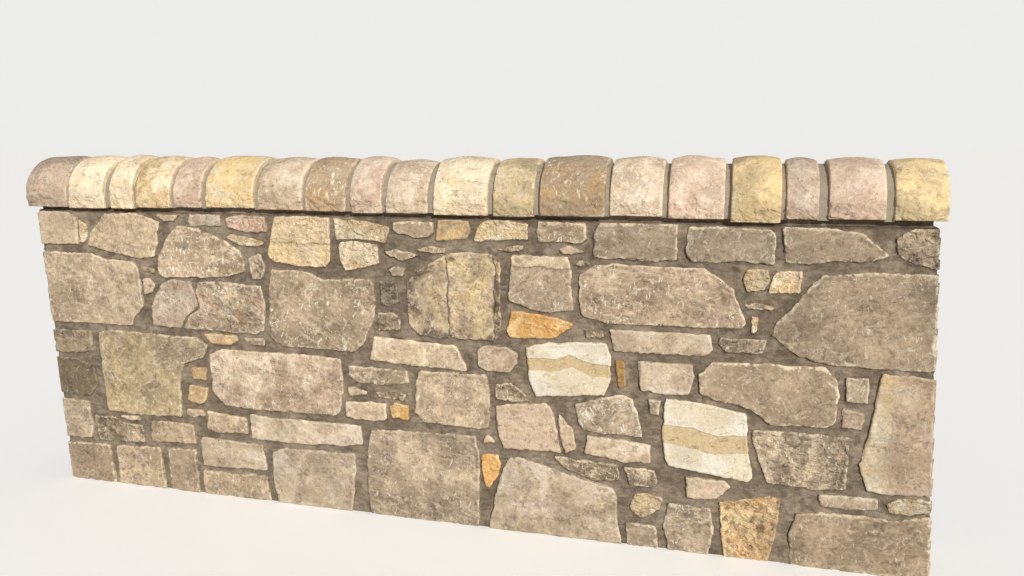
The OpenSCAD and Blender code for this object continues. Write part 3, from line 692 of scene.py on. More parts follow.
def mortar(name, middle, pale, dark, brushing):
    """Sand and lime mortar: dull and sandy, brushed along the joints more or less, with grains of grit, and
    darkened with painted shadow under the stones.
    """
    material, tree, shader = start_material(name)
    place = add(tree, "ShaderNodeTexCoord", output="Object")
    shape = add(tree, ATTRIBUTE, output="Vector", attribute_name=SHAPE)
    groove_and_painted_shadow = add(tree, PARTS, {0: shape})
    broad = patches(tree, place, 2.0, 110, 0.42, 0.62)
    colour = add(tree, MIX, {0: broad, 6: tone(middle), 7: tone(pale)}, 2, data_type="RGBA")
    colour = lay(tree, colour, dark, patches(tree, place, 9.0, 60, 0.5, 0.62), 0.5)
    brushed = add(tree, MAPPING, {"Vector": place, "Rotation": (0, 0.12, 0), "Scale": (0.4, 1.0, 1.0)})
    streaks = add(tree, NOISE, {"Vector": brushed, "Scale": 1 / (12 * MM), "Detail": 5.0, "Roughness": 0.6})
    sand = add(tree, NOISE, {"Vector": place, "Scale": 1 / (6 * MM), "Detail": 3.0, "Roughness": 0.65})
    mixed = add(tree, MATH, {0: sand, 1: 0.7, 2: streaks}, operation="MULTIPLY_ADD")
    mixed = add(tree, MATH, {0: mixed, 1: 1.7}, operation="DIVIDE")
    colour = shade(tree, colour, mixed, 0.45 * brushing, 0.45 * brushing)
    colour = lay(tree, colour, pale, patches(tree, brushed, 15.0, 22, 0.56, 0.62, 6), 0.45 * brushing)
    # Painted shadow: umber in the grooves under and left of the stones
    colour = lay(tree, colour, "umber", groove_and_painted_shadow, 0.85)
    cells = add(tree, "ShaderNodeTexVoronoi", {"Vector": place, "Scale": 1 / (8 * MM)})
    grit = add(tree, RANGE, {"Value": cells, "From Min": 0.26, "From Max": 0.12})
    colour = lay(tree, colour, "cream", grit, 0.2)
    bump = add(tree, BUMP, {"Strength": 1.0, "Distance": 3 * brushing * MM, "Height": mixed})
    roughness = add(tree, RANGE, {"Value": sand, "To Min": 0.88, "To Max": 0.98})
    tree.links.new(colour, shader.inputs["Base Color"])
    tree.links.new(roughness, shader.inputs["Roughness"])
    tree.links.new(bump, shader.inputs["Normal"])
    shader.inputs["Specular IOR Level"].default_value = 0.25
    return material


MORTARS = {
    # dull grey brown, brushed while soft
    "lime_mortar": ("mortar", "mortar_pale", "mortar_dark", 1.0),
    # paler, dry and struck smooth, between the cope stones
    "pale_mortar": ("mortar_dry", "mortar_dry", "mortar_pale", 0.5),
}


def finish_material(name):
    """The material of a finish, made the first time that a stone asks for it."""
    if name in bpy.data.materials:
        return bpy.data.materials[name]
    if name in MORTARS:
        return mortar(name, *MORTARS[name])
    values = {key: value for key, value in (FINISHES | COPE_FINISHES)[name].items() if key != "relief"}
    return sandstone(name, **values)


def right_end(height):
    """Where the right-hand end of the wall stands at a height. It leans in towards the cope."""
    lean = (RIGHT_END_AT_GROUND - RIGHT_END_AT_TOP) / WALL_HIGH.z
    return RIGHT_END_AT_GROUND - lean * height


def inside_outline(place):
    """How far a place is inside the outline of the wall: its two ends, the ground and the bed."""
    return min(place.x - LEFT_END, right_end(place.z) - place.x, place.z, WALL_HIGH.z - place.z)


def clamp(value, low=0.0, high=1.0):
    """A value, or the nearer of two limits where it is beyond them."""
    return max(low, min(high, value))


def hills(place, size):
    """Smooth noise from about -1 to 1, with hills about size mm wide."""
    return noise.noise(place / (size * MM))


def wander(place, reach):
    """Shifts a point of the wall sideways and up or down, so that outlines of stones wander as broken edges
    do. Stones and pointing shift alike, and nothing shifts at the ends, the ground or the bed."""
    hold = clamp(inside_outline(place) / STILL_MARGIN)
    broad = noise.noise_vector(Vector((place.x / BROAD_BEND, 3.1, place.z / BROAD_BEND)))
    small = noise.noise_vector(Vector((place.x / SMALL_BEND, 8.7, place.z / SMALL_BEND)))
    shift = (broad * 0.75 + small * 0.35) * (reach * hold)
    return Vector((shift.x, 0.0, shift.z))


def add_layers(bm):
    """Adds the layers of a mesh that the materials read."""
    bm.verts.layers.float_vector.new(LIE)
    bm.verts.layers.float_vector.new(SHAPE)
    bm.verts.layers.float.new(STONE)
    bm.verts.layers.float_color.new(TINT)


def copy_solids(node, dissolve=True):
    """A copy of a node's mesh, with its loose triangles merged into closed solids."""
    bm = bmesh.new()
    bm.from_mesh(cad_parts[node].data)
    bmesh.ops.remove_doubles(bm, verts=bm.verts, dist=WELD)
    if dissolve:
        bmesh.ops.dissolve_limit(bm, angle_limit=FLAT_ANGLE, verts=bm.verts, edges=bm.edges)
    add_layers(bm)
    bm.normal_update()
    return bm


def separate_solids(bm):
    """The faces of each separate solid of a mesh."""
    seen = set()
    solids = []
    for start in bm.faces:
        if start in seen:
            continue
        seen.add(start)
        solid = [start]
        waiting = [start]
        while waiting:
            for edge in waiting.pop().edges:
                for face in edge.link_faces:
                    if face not in seen:
                        seen.add(face)
                        solid.append(face)
                        waiting.append(face)
        solids.append(solid)
    return solids


def grid_cut(bm, faces, axis, spacing):
    """Cuts faces along evenly spaced planes across an axis, and returns all their parts."""
    waiting = {}
    finished = []

    def sort_in(face, after):
        """Puts a face with the next plane that crosses it, or with the finished ones."""
        reach = [v.co[axis] for v in face.verts]
        plane = max(after, math.floor((min(reach) + NEAR) / spacing)) + 1
        if plane * spacing < max(reach) - NEAR:
            waiting.setdefault(plane, []).append(face)
        else:
            finished.append(face)

    lowest = math.floor(min(v.co[axis] for f in faces for v in f.verts) / spacing) - 1
    for face in faces:
        sort_in(face, lowest)
    across = Vector([float(i == axis) for i in range(3)])
    while waiting:
        plane = min(waiting)
        crossed = waiting.pop(plane)
        edges = [e for f in crossed for e in f.edges]
        points = [v for f in crossed for v in f.verts]
        cut = bmesh.ops.bisect_plane(
            bm, geom=list(dict.fromkeys(crossed + edges + points)), dist=NEAR,
            plane_co=across * (plane * spacing), plane_no=across,
        )
        for part in cut["geom"]:
            if isinstance(part, bmesh.types.BMFace):
                sort_in(part, plane)
    return finished


def points_along(edges, spacing):
    """A tree of points along edges, to measure distances from them."""
    places = []
    for edge in edges:
        a, b = (v.co.copy() for v in edge.verts)
        count = max(1, round((b - a).length / spacing))
        places += [a.lerp(b, i / count) for i in range(count + 1)]
    tree = kdtree.KDTree(len(places))
    for i, place in enumerate(places):
        tree.insert(place, i)
    tree.balance()
    return tree


def facets(place, size):
    """Flat flakes about size mm wide that lie at different slants, as on split stone: how far they stand
    out, from about -1 to 1."""
    spot = place / (size * MM)
    nearest = noise.voronoi(spot)[1][0]
    slant = noise.cell_vector(nearest * 31) - Vector((0.5, 0.5, 0.5))
    return 2.5 * slant.dot(spot - nearest)


def split_relief(place, relief):
    """How far a split face lies behind its highest points, and how deep in a small hollow the place is."""
    swell, ledge, flake = (r * MM for r in relief)
    broad = hills(place, 150) + 0.5 * hills(place, 65)
    beds = 2.4 * noise.noise(Vector((place.x / (190 * MM), place.y, place.z / (55 * MM)))) + 6
    rise = beds - math.floor(beds)
    terrace = math.floor(beds) + min(1.0, rise * 5) - 5
    flat = Vector((place.x, place.y, place.z * 1.4))
    chips = facets(flat, 45) + 0.5 * facets(flat + Vector((3, 0, 9)), 21)
    fine = hills(place, 20) + 0.7 * hills(place, 9.5)
    hollow = 0.5 - 0.4 * chips + 0.25 * fine
    depth = swell * (0.65 + broad) + ledge * 0.45 * (1 + terrace) + flake * (0.7 - 0.8 * chips)
    depth += 0.5 * MM * fine
    return max(0.0, depth), clamp(hollow)


def seam_distance(place, low, high, seam, offset):
    """How far a place is above the ledge or the folded band of its stone, or to the right of its nearest
    cleft or of the edge of its stain."""
    kind, *shares = seam
    size = high - low
    spot = Vector((place.x, offset, place.z))
    waver = hills(spot, 70) + 0.5 * hills(spot, 20)
    if kind in ("clefts", "stain"):
        reach = 9 * MM if kind == "clefts" else 24 * MM
        return min((place.x - low.x - share * size.x - reach * waver for share in shares), key=abs)
    across = (place.x - low.x) / size.x
    if kind == "ledge":
        return place.z - low.z - shares[0] * size.z - 9 * MM * waver
    share, rise, width = shares
    share += rise * math.exp(-((across - 0.55) / width) ** 2) - 0.06 * across
    return place.z - low.z - share * size.z - 7 * MM * waver


def edge_wear(place, chips):
    """The width over which an edge is worn there, and how freshly it is chipped."""
    broken = hills(place, 55) + 0.6 * hills(place, 21)
    chipped = clamp((broken - 0.12) / 0.3) * chips
    width = (3 + 4 * abs(hills(place, 30)) + 10 * chipped) * MM
    return width, chipped


def worn_drop(distance, width):
    """How far the surface falls away at a distance from an edge that is worn over a width."""
    share = max(0.0, 1 - distance / width)
    return min(0.9 * width, WORN_DEPTH) * share ** 1.5


def rim_of(faces):
    """The edges between some faces and the rest of their mesh."""
    inside = set(faces)
    edges = dict.fromkeys(e for f in faces for e in f.edges)
    return [e for e in edges if any(f not in inside for f in e.link_faces)]


def soften_rim(rim, offset, crumble):
    """Rounds the corners of an outline and crumbles it. Returns how far each of its points goes."""
    beside = {}
    outward = {}
    for e in rim:
        a, b = e.verts
        beside.setdefault(a, []).append(b)
        beside.setdefault(b, []).append(a)
        for f in e.link_faces:
            if abs(f.normal.y) < 0.5:
                for v in e.verts:
                    outward[v] = outward.get(v, Vector()) + Vector((f.normal.x, 0, f.normal.z))
    places = {v: v.co.copy() for v in beside}
    for _ in range(2):
        middles = {v: sum((places[n] for n in beside[v]), Vector()) / len(beside[v]) for v in places}
        places = {v: place.lerp(middles[v], 0.5) for v, place in places.items()}
    shifts = {}
    for v, place in places.items():
        spot = v.co + Vector((0, offset, 0))
        bite = hills(spot, 26) + 0.8 * hills(spot, 11) - 0.25
        out = outward.get(v, Vector())
        shift = place - v.co
        shift.y = 0
        if out.length > 0:
            shift -= out.normalized() * (crumble * bite)
        shifts[v] = shift if inside_outline(v.co) > 6 * MM else Vector()
    return shifts


def dress_face(bm, faces, axis, side, finish, offset, reach):
    """Splits one face of a stone: wears and chips its edges and gives the rest its relief. The face looks
    along an axis, X at an end of the wall and Y elsewhere, to one side. The stone has a given reach."""
    sizes = bpy.context.scene.wall_sizes
    values = FINISHES[finish]
    layer = bm.verts.layers.float_vector
    lie, shape = layer[LIE], layer[SHAPE]
    rim = rim_of(faces)
    if axis == Y:
        shifts = soften_rim(rim, offset, sizes.crumble)
    else:
        shifts = {v: Vector() for e in rim for v in e.verts}
    rim_places = []
    tree = kdtree.KDTree(len(shifts))
    for i, (v, shift) in enumerate(shifts.items()):
        place = v.co.copy()
        wear = edge_wear(place + Vector((0, offset, 0)), values["chips"] if axis == Y else 0)
        rim_places.append((shift, *wear))
        tree.insert(place, i)
    tree.balance()
    for v in dict.fromkeys(v for f in faces for v in f.verts):
        flat = v.co.copy()
        place = v.co + Vector((0, offset, 0))
        if axis == Y:
            flat.y = side * (STONE_FACE - WORN_DEPTH)
            place.y = offset
        _, nearest, away = tree.find(flat)
        shift, width, chipped = rim_places[nearest]
        depth, hollow = split_relief(place, values["relief"])
        if axis == X:
            depth *= 0.5
        hold = 0.35 + 0.65 * min(1.0, away / (16 * MM))
        from_seam = NO_SEAM
        if "seam" in values and axis == Y:
            from_seam = seam_distance(v.co, *reach, values["seam"], offset)
            if values["seam"][0] == "ledge":
                depth += 7 * MM * max(0.0, min(1 + from_seam / (24 * MM), -from_seam / (3 * MM)))
            elif values["seam"][0] == "clefts":
                depth += 4 * MM * max(0.0, 1 - abs(from_seam) / (7 * MM))
        total = min(DEEPEST, worn_drop(away, width) + depth * hold)
        if axis == Y:
            v.co.y = side * (STONE_FACE - total)
            v.co += shift * max(0.0, 1 - away / (30 * MM))
        else:
            v.co.x -= side * total
        v[lie][2] = away
        v[shape] = (hollow, chipped * max(0.0, 1 - away / (1.15 * width)), from_seam)
    for f in faces:
        f.smooth = True


def plain_finish(word):
    """A finish without its marks, and how much lighter or darker the marks make it."""
    name = word.rstrip("+-")
    marks = word[len(name):]
    return name, MARK * (marks.count("+") - marks.count("-"))


def seeded_tint(rng, lift, spread=0.04):
    """A slight change of lightness and warmth, so that no two stones of a finish look the same."""
    value = 1 + lift + rng.uniform(-spread, spread)
    warmth = rng.uniform(-0.02, 0.02)
    return (value + warmth, value, value - warmth * 1.4, 1.0)


def dress_stone(bm, word, seed, grid, end=0):
    """Cuts the showing faces of one stone into a grid and splits them."""
    sizes = bpy.context.scene.wall_sizes
    finish, lift = plain_finish(word)
    rng = random.Random(seed)
    inner = STONE_FACE - WORN_DEPTH - NEAR
    sides = {side: [f for f in bm.faces if all(v.co.y * side > inner for v in f.verts)] for side in (-1, 1)}
    ends = [f for f in bm.faces if end and f.normal.x * end > 0.9]
    low = Vector([min(v.co[i] for v in bm.verts) for i in range(3)])
    high = Vector([max(v.co[i] for v in bm.verts) for i in range(3)])
    offset = rng.uniform(-50, 50)

    if ends:
        ends = grid_cut(bm, ends, Y, grid * 1.4)
        grid_cut(bm, ends, Z, grid * 1.4)
    for side, faces in sides.items():
        spacing = grid if side < 0 else max(grid, sizes.back_grid)
        if faces:
            faces = grid_cut(bm, faces, X, spacing)
            sides[side] = grid_cut(bm, faces, Z, spacing)
    bm.normal_update()
    if ends:
        ends = [f for f in bm.faces if f.normal.x * end > 0.9]
        dress_face(bm, ends, X, end, finish, offset, (low, high))
        bm.normal_update()
    for side, faces in sides.items():
        if faces:
            dress_face(bm, faces, Y, side, finish, offset, (low, high))

    slot = finish_slot(finish)
    lie = bm.verts.layers.float_vector[LIE]
    stone = bm.verts.layers.float[STONE]
    tint = bm.verts.layers.float_color[TINT]
    number = rng.random()
    shift = seeded_tint(rng, lift)
    for v in bm.verts:
        v[lie][0] = (v.co.x - low.x) / (high.x - low.x)
        v[lie][1] = (v.co.z - low.z) / (high.z - low.z)
        v[stone] = number
        v[tint] = shift
        v.co += wander(v.co, sizes.wander)
    for f in bm.faces:
        f.material_index = slot


def finish_slot(finish):
    """The number of the material slot that a finish has on the piece being made."""
    if finish not in piece_finishes:
        piece_finishes.append(finish)
    return piece_finishes.index(finish)


def make_piece(bm, name, node):
    """Turns a finished bmesh into a piece that rides on the wall and stands for its node."""
    mesh = bpy.data.meshes.new(name)
    bm.to_mesh(mesh)
    bm.free()
    for finish in piece_finishes:
        mesh.materials.append(finish_material(finish))
    piece_finishes.clear()
    piece = bpy.data.objects.new(name, mesh)
    bpy.context.scene.collection.objects.link(piece)
    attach(piece, "root")
    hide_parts(node)
    return piece


def join(bm, part):
    """Adds a finished part to the bmesh of its piece."""
    mesh = bpy.data.meshes.new("part")
    part.to_mesh(mesh)
    part.free()
    bm.from_mesh(mesh)
    bpy.data.meshes.remove(mesh)


def take_out(bm, solid):
    """A bmesh of one solid out of several."""
    part = bm.copy()
    part.faces.ensure_lookup_table()
    kept = {f.index for f in solid}
    bmesh.ops.delete(part, geom=[f for f in part.faces if f.index not in kept], context="FACES")
    return part


def centre(solid, axis):
    """Where the middle of a solid is along an axis."""
    reach = [v.co[axis] for f in solid for v in f.verts]
    return (min(reach) + max(reach)) / 2


def dress_group(node):
    """Dresses all the stones of one node. The back has the same finishes in another order."""
    sizes = bpy.context.scene.wall_sizes
    side, group = node.split("_", 1)
    bm = copy_solids(node)
    solids = separate_solids(bm)
    if group == "quoins":
        names = STONES[node].split()
        end = -1 if side == "left" else 1
        heights = sorted({round(centre(s, Z), 3) for s in solids}, reverse=True)
        jobs = [(s, names[heights.index(round(centre(s, Z), 3))]) for s in solids]
        jobs.sort(key=lambda job: (-centre(job[0], Z), centre(job[0], Y)))
        grid = sizes.front_grid
    else:
        names = STONES[group].split()
        shift = BACK_SHIFT if side == "back" else 0
        end = 0
        solids.sort(key=lambda s: (round(centre(s, X), 4), centre(s, Z)))
        jobs = [(s, names[(i + shift) % len(names)]) for i, s in enumerate(solids)]
        grid = sizes.back_grid if side == "back" else sizes.front_grid
    dressed = bmesh.new()
    bm.faces.index_update()
    for i, (solid, finish) in enumerate(jobs):
        part = take_out(bm, solid)
        dress_stone(part, finish, f"{node} {i}", grid, end)
        join(dressed, part)
    bm.free()
    return make_piece(dressed, node + "_dressed", node)


def close_pockets(bm, overlap):
    """Moves the walls of the pockets a little into the stones, so that no gap shows round a stone."""
    moves = {}
    for f in bm.faces:
        middle = f.calc_center_median()
        if abs(f.normal.y) < 0.5 and inside_outline(middle) > 20 * MM:
            for v in f.verts:
                moves[v] = moves.get(v, Vector()) + Vector((f.normal.x, 0, f.normal.z))
    for v, move in moves.items():
        if move.length > 0.1 and min(v.co.z, WALL_HIGH.z - v.co.z) > NEAR:
            v.co += move.normalized() * overlap


def outer_faces(bm):
    """The faces of the mortar on the front and the back of the wall, and those at its ends."""
    leaning = RIGHT_END_AT_GROUND - WALL_HIGH.x
    fronts = []
    ends = []
    for f in bm.faces:
        middle = f.calc_center_median()
        at_left = middle.x < WALL_LOW.x + MM
        at_right = middle.x > right_end(middle.z) - leaning - MM
        if all(abs(abs(v.co.y) - WALL_HIGH.y) < NEAR for v in f.verts) and abs(f.normal.y) > 0.9:
            fronts.append(f)
        elif abs(f.normal.x) > 0.9 and (at_left or at_right):
            ends.append(f)
    return fronts, ends


def brush(place, towards, away, swell_depth):
    """How far brushed pointing stands out at a place, and how much painted shadow it takes under a stone.
    The edge of the nearest stone lies towards a direction, some distance away."""
    # How far the nearest stone lies up and to the right, towards the key light. Just under such a stone the
    # pointing is grooved, and the material darkens that groove with painted shadow.
    under = max(0.0, Vector((0.45, 0, 0.9)).dot(towards.normalized()))
    groove_and_painted_shadow = under * max(0.0, 1 - away / (9 * MM))
    swell = hills(place, 70) + 0.5 * hills(place, 26)
    ridge = noise.noise(Vector((place.x / (50 * MM), place.y, place.z / (15 * MM))))
    smear = max(0.0, noise.noise(place / (90 * MM) + Vector((7, 0, 0))) - 0.1)
    smear *= max(0.0, 1 - away / (15 * MM))
    out = swell_depth * swell + 1.6 * MM * ridge + 14 * MM * smear * (1 - under) - 6 * MM * groove_and_painted_shadow
    return abs(clamp(out, *SWELL_LIMITS)), groove_and_painted_shadow


def dress_mortar():
    """The pointing: the mortar between the stones, brushed unevenly on both faces and at both ends."""
    sizes = bpy.context.scene.wall_sizes
    bm = copy_solids("mortar", dissolve=False)
    fronts, ends = outer_faces(bm)
    rim_tree = points_along(rim_of(fronts), 4 * MM)
    near = [f for f in fronts if f.normal.y < 0]
    far = [f for f in fronts if f.normal.y > 0]
    fronts = []
    for faces, spacing in ((near, sizes.mortar_grid), (far, 1.5 * sizes.mortar_grid)):
        fronts += grid_cut(bm, grid_cut(bm, faces, X, spacing), Z, spacing)
    ends = grid_cut(bm, grid_cut(bm, ends, Y, sizes.mortar_grid * 2), Z, sizes.mortar_grid * 2)
    bm.normal_update()
    shape = bm.verts.layers.float_vector[SHAPE]
    for v in dict.fromkeys(v for f in fronts for v in f.verts):
        spot = v.co
        nearest, _, away = rim_tree.find(spot)
        towards = nearest - spot
        if away < MM:
            towards = sum((f.normal for f in v.link_faces if abs(f.normal.y) < 0.5), Vector())
        out, groove_and_painted_shadow = brush(spot, towards, away, sizes.mortar_swell)
        v.co.y += math.copysign(out, v.co.y)
        # The groove goes to the material, which darkens it with painted shadow
        v[shape] = (groove_and_painted_shadow, 0.0, 0.0)
    for v in dict.fromkeys(v for f in ends for v in f.verts):
        v.co.x += math.copysign(8 * MM * (1 + 0.5 * hills(v.co, 40)), v.co.x)
    close_pockets(bm, sizes.pocket_overlap)
    for v in bm.verts:
        v.co += wander(v.co, sizes.wander)
    slot = finish_slot("lime_mortar")
    for f in bm.faces:
        f.material_index = slot
        f.smooth = False
    for f in fronts + ends:
        f.smooth = True
    return make_piece(bm, "mortar_dressed", "mortar")


def half_round(bm, low, high, half, upright, arris, radial):
    """A half-round bar along X on an upright edge, between two x places, with its edges worn round."""
    axis_height = low.z + upright
    start = [bm.verts.new((x, -half, axis_height)) for x in (low.x, high.x)]
    line = bm.edges.new(start)
    steps = max(8, round(math.pi * half / radial))
    spun = bmesh.ops.spin(
        bm, geom=[*start, line], cent=(0, 0, axis_height), axis=(1, 0, 0), angle=-math.pi, steps=steps
    )
    last = [e for e in spun["geom_last"] if isinstance(e, bmesh.types.BMEdge)]
    down = bmesh.ops.extrude_edge_only(bm, edges=[line, *last])["geom"]
    corners = [v for v in down if isinstance(v, bmesh.types.BMVert)]
    bmesh.ops.translate(bm, verts=corners, vec=(0, 0, -upright))
    edges = [e for e in down if isinstance(e, bmesh.types.BMEdge)]
    feet = [e for e in edges if all(abs(v.co.z - low.z) < NEAR for v in e.verts)]
    bmesh.ops.bridge_loops(bm, edges=feet)
    bmesh.ops.holes_fill(bm, edges=bm.edges, sides=0)
    bmesh.ops.recalc_face_normals(bm, faces=bm.faces)
    sharp = [e for e in bm.edges if e.calc_face_angle(0) > 0.6]
    bmesh.ops.bevel(bm, geom=sharp, offset=arris, segments=3, profile=0.5, affect="EDGES", material=-1,
                    clamp_overlap=True)
    return axis_height


def cope_relief(place, low_share):
    """Depth of the rock face on a cope stone in shares of its relief, broken into ledges and flakes towards
    its lower edge, and how deep in a small hollow the place is."""
    broad = hills(place, 100) + 0.4 * hills(place, 50)
    flat = Vector((place.x, place.y * 1.5, place.z * 1.6))
    chips = facets(flat, 55) + 0.6 * facets(flat + Vector((5, 0, 3)), 24)
    fine = hills(place, 19) + 0.7 * hills(place, 9)
    beds = 1.8 * noise.noise(Vector((place.x / (110 * MM), place.y / (200 * MM), place.z / (40 * MM)))) + 4
    terrace = math.floor(beds) + min(1.0, (beds - math.floor(beds)) * 4) - 4
    hollow = clamp(0.5 - 0.35 * chips + 0.2 * fine)
    rough = 0.15 + 0.85 * low_share
    return 0.45 + 0.5 * broad + rough * (0.6 - 0.8 * chips + 0.45 * terrace + 0.15 * fine), hollow


def dress_cope_stone(i):
    """One cope stone: half round, bowed between its ends, rock-faced and worn along its edges."""
    sizes = bpy.context.scene.wall_sizes
    node = f"cope_{i + 1:02}"
    low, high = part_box(node)
    half = (high.y - low.y) / 2
    upright = high.z - low.z - half
    rng = random.Random(node)
    finish, lift = plain_finish(COPE[i])
    chips = COPE_FINISHES[finish]["chips"]
    bm = bmesh.new()
    add_layers(bm)
    lie = bm.verts.layers.float_vector[LIE]
    shape = bm.verts.layers.float_vector[SHAPE]
    stone = bm.verts.layers.float[STONE]
    tint = bm.verts.layers.float_color[TINT]
    axis_height = half_round(bm, low, high, half, upright, sizes.cope_arris, sizes.cope_grid)
    outer = {0: -1, len(COPE) - 1: 1}.get(i, 0)
    ends = [f for f in bm.faces if abs(f.normal.x) > 0.99]
    shown = [f for f in ends if f.normal.x * outer > 0.5]
    sides = grid_cut(bm, [f for f in bm.faces if f not in ends], X, sizes.cope_grid)
    grid_cut(bm, [f for f in sides if f.calc_center_median().z < axis_height], Z, sizes.cope_grid)
    if shown:
        shown = grid_cut(bm, grid_cut(bm, shown, Y, sizes.cope_grid * 1.5), Z, sizes.cope_grid * 1.5)
    number = rng.random()
    shift = seeded_tint(rng, lift)
    offset = rng.uniform(-40, 40)
    bm.normal_update()
    middle = (low.x + high.x) / 2
    reach = (high.x - low.x) / 2
    for v in bm.verts:
        spot = v.co + Vector((offset, 0, 0))
        along = (v.co.x - middle) / reach
        edge = min(v.co.x - low.x, high.x - v.co.x)
        foot = v.co.z - low.z
        low_share = clamp(1.5 - foot / (0.07 + 0.03 * hills(spot, 80)))
        radius = Vector((0, v.co.y, max(0.0, v.co.z - axis_height)))
        rim = min(1.0, (radius.length / (half - sizes.cope_arris)) ** 6)
        share, hollow = cope_relief(spot, low_share)
        width, chipped = edge_wear(spot, 0.3 * chips)
        crown = max(0.0, (v.co.z - axis_height) / half)
        depth = sizes.cope_bow * (0.3 + 0.7 * crown) * (along * along + 0.4 * hills(spot, 90))
        depth += (
            sizes.cope_relief * share + 0.4 * worn_drop(edge, width) + 0.5 * worn_drop(foot, width * 1.5)
        )
        depth = clamp(depth, 0.0, COPE_DEEPEST)
        if outer and v.normal.x * outer > 0.8:
            v.co.x -= outer * min(4 * MM, depth * 0.5)
        if radius.length > 0:
            v.co -= radius.normalized() * (depth * rim)
        if v.co.z < low.z + NEAR:
            v.co.z += max(0.0, 3 * MM * (1 + 1.3 * hills(Vector((spot.x, v.co.y, 0)), 45)))
        v[lie] = ((v.co.x - low.x) / (high.x - low.x), foot / (high.z - low.z), min(edge, foot))
        v[shape] = (hollow, chipped * max(0.0, 1 - edge / (1.15 * width)), NO_SEAM)
        v[stone] = number
        v[tint] = shift
    slot = finish_slot(finish)
    for f in bm.faces:
        f.smooth = f not in ends or f in shown
        f.material_index = slot
    return make_piece(bm, node + "_dressed", node)


def dress_cope_joints():
    """The mortar between the cope stones, struck a little under their surface and lower along the crown,
    where the stones fall away towards their ends."""
    sizes = bpy.context.scene.wall_sizes
    low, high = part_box("cope_joints")
    half = (high.y - low.y) / 2
    upright = high.z - low.z - half
    bm = bmesh.new()
    add_layers(bm)
    overlap = 2 * MM
    side_depth = 7 * MM
    crown_depth = 15 * MM
    for i in range(1, len(COPE)):
        start = Vector((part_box(f"cope_{i:02}")[1].x - overlap, 0, low.z))
        stop = Vector((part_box(f"cope_{i + 1:02}")[0].x + overlap, 0, high.z))
        joint = bmesh.new()
        half_round(joint, start, stop, half, upright, 1 * MM, 8 * MM)
        grid_cut(joint, [f for f in joint.faces if abs(f.normal.x) < 0.9], X, 6 * MM)
        joint.normal_update()
        for v in joint.verts:
            crown = max(0.0, (v.co.z - low.z - upright) / half)
            rise = 1.2 * MM * hills(v.co, 40)
            radius = Vector((0, v.co.y, max(0.0, v.co.z - low.z - upright)))
            if v.co.z > low.z + NEAR and radius.length > 0:
                v.co -= radius.normalized() * (side_depth + (crown_depth - side_depth) * crown - rise)
            else:
                v.co += Vector((0, -math.copysign(side_depth, v.co.y), 6 * MM))
        for f in joint.faces:
            f.smooth = abs(f.normal.x) < 0.9
        join(bm, joint)
    finish_slot("pale_mortar")
    return make_piece(bm, "cope_joints_dressed", "cope_joints")


def dress_cope_bed():
    """The bed of mortar that the cope lies in, ragged along its edges."""
    bm = copy_solids("cope_bed")
    faces = [f for f in bm.faces if abs(f.normal.y) > 0.9]
    faces = grid_cut(bm, grid_cut(bm, faces, X, 8 * MM), Z, 8 * MM)
    for v in dict.fromkeys(v for f in faces for v in f.verts):
        v.co.y -= math.copysign(1.5 * MM * (1 + hills(v.co, 30)), v.co.y)
    slot = finish_slot("lime_mortar")
    for f in bm.faces:
        f.material_index = slot
        f.smooth = False
    return make_piece(bm, "cope_bed_dressed", "cope_bed")


class WALL_OT_face_stones(bpy.types.Operator):
    """Dresses the stones of the front and the back"""
    bl_idname = "wall.face_stones"
    bl_label = "Face stones"

    def execute(self, context):
        groups = ("top_stones", "upper_stones", "middle_stones", "lower_stones", "foot_stones", "pinnings")
        for side in ("front", "back"):
            for group in groups:
                dress_group(f"{side}_{group}")
        return {"FINISHED"}


class WALL_OT_quoins(bpy.types.Operator):
    """Dresses the stones of both ends of the wall"""
    bl_idname = "wall.quoins"
    bl_label = "End stones"

    def execute(self, context):
        for node in ("left_quoins", "right_quoins"):
            dress_group(node)
        return {"FINISHED"}


class WALL_OT_mortar(bpy.types.Operator):
    """Makes the pointing, the joints between the cope stones and the bed under them"""
    bl_idname = "wall.mortar"
    bl_label = "Mortar"

    def execute(self, context):
        dress_mortar()
        dress_cope_joints()
        dress_cope_bed()
        return {"FINISHED"}


class WALL_OT_cope(bpy.types.Operator):
    """Makes the half-round cope stones"""
    bl_idname = "wall.cope"
    bl_label = "Cope stones"

    def execute(self, context):
        for i in range(len(COPE)):
            dress_cope_stone(i)
        return {"FINISHED"}


class WALL_OT_stage(bpy.types.Operator):
    """Sets up the floor, the lamps, the background and the camera"""
    bl_idname = "wall.stage"
    bl_label = "Stage"

    def execute(self, context):
        build_floor()
        build_lights()
        build_camera()
        return {"FINISHED"}


def build_floor():
    """A plain pale floor, wide enough to run out of sight."""
    material, tree, shader = start_material("pale_floor")
    seen = add(tree, "ShaderNodeLightPath", output="Is Camera Ray")
    colour = add(tree, MIX, {0: seen, 6: tone("floor_bounce"), 7: tone("floor")}, 2, data_type="RGBA")
    tree.links.new(colour, shader.inputs["Base Color"])
    shader.inputs["Roughness"].default_value = 0.9
    shader.inputs["Emission Color"].default_value = tone("floor")
    glow = add(tree, MATH, {0: seen, 1: 0.2}, operation="MULTIPLY")
    tree.links.new(glow, shader.inputs["Emission Strength"])
    bm = bmesh.new()
    bmesh.ops.create_grid(bm, x_segments=1, y_segments=1, size=40)
    mesh = bpy.data.meshes.new("floor")
    bm.to_mesh(mesh)
    bm.free()
    mesh.materials.append(material)
    floor = bpy.data.objects.new("floor", mesh)
    bpy.context.scene.collection.objects.link(floor)


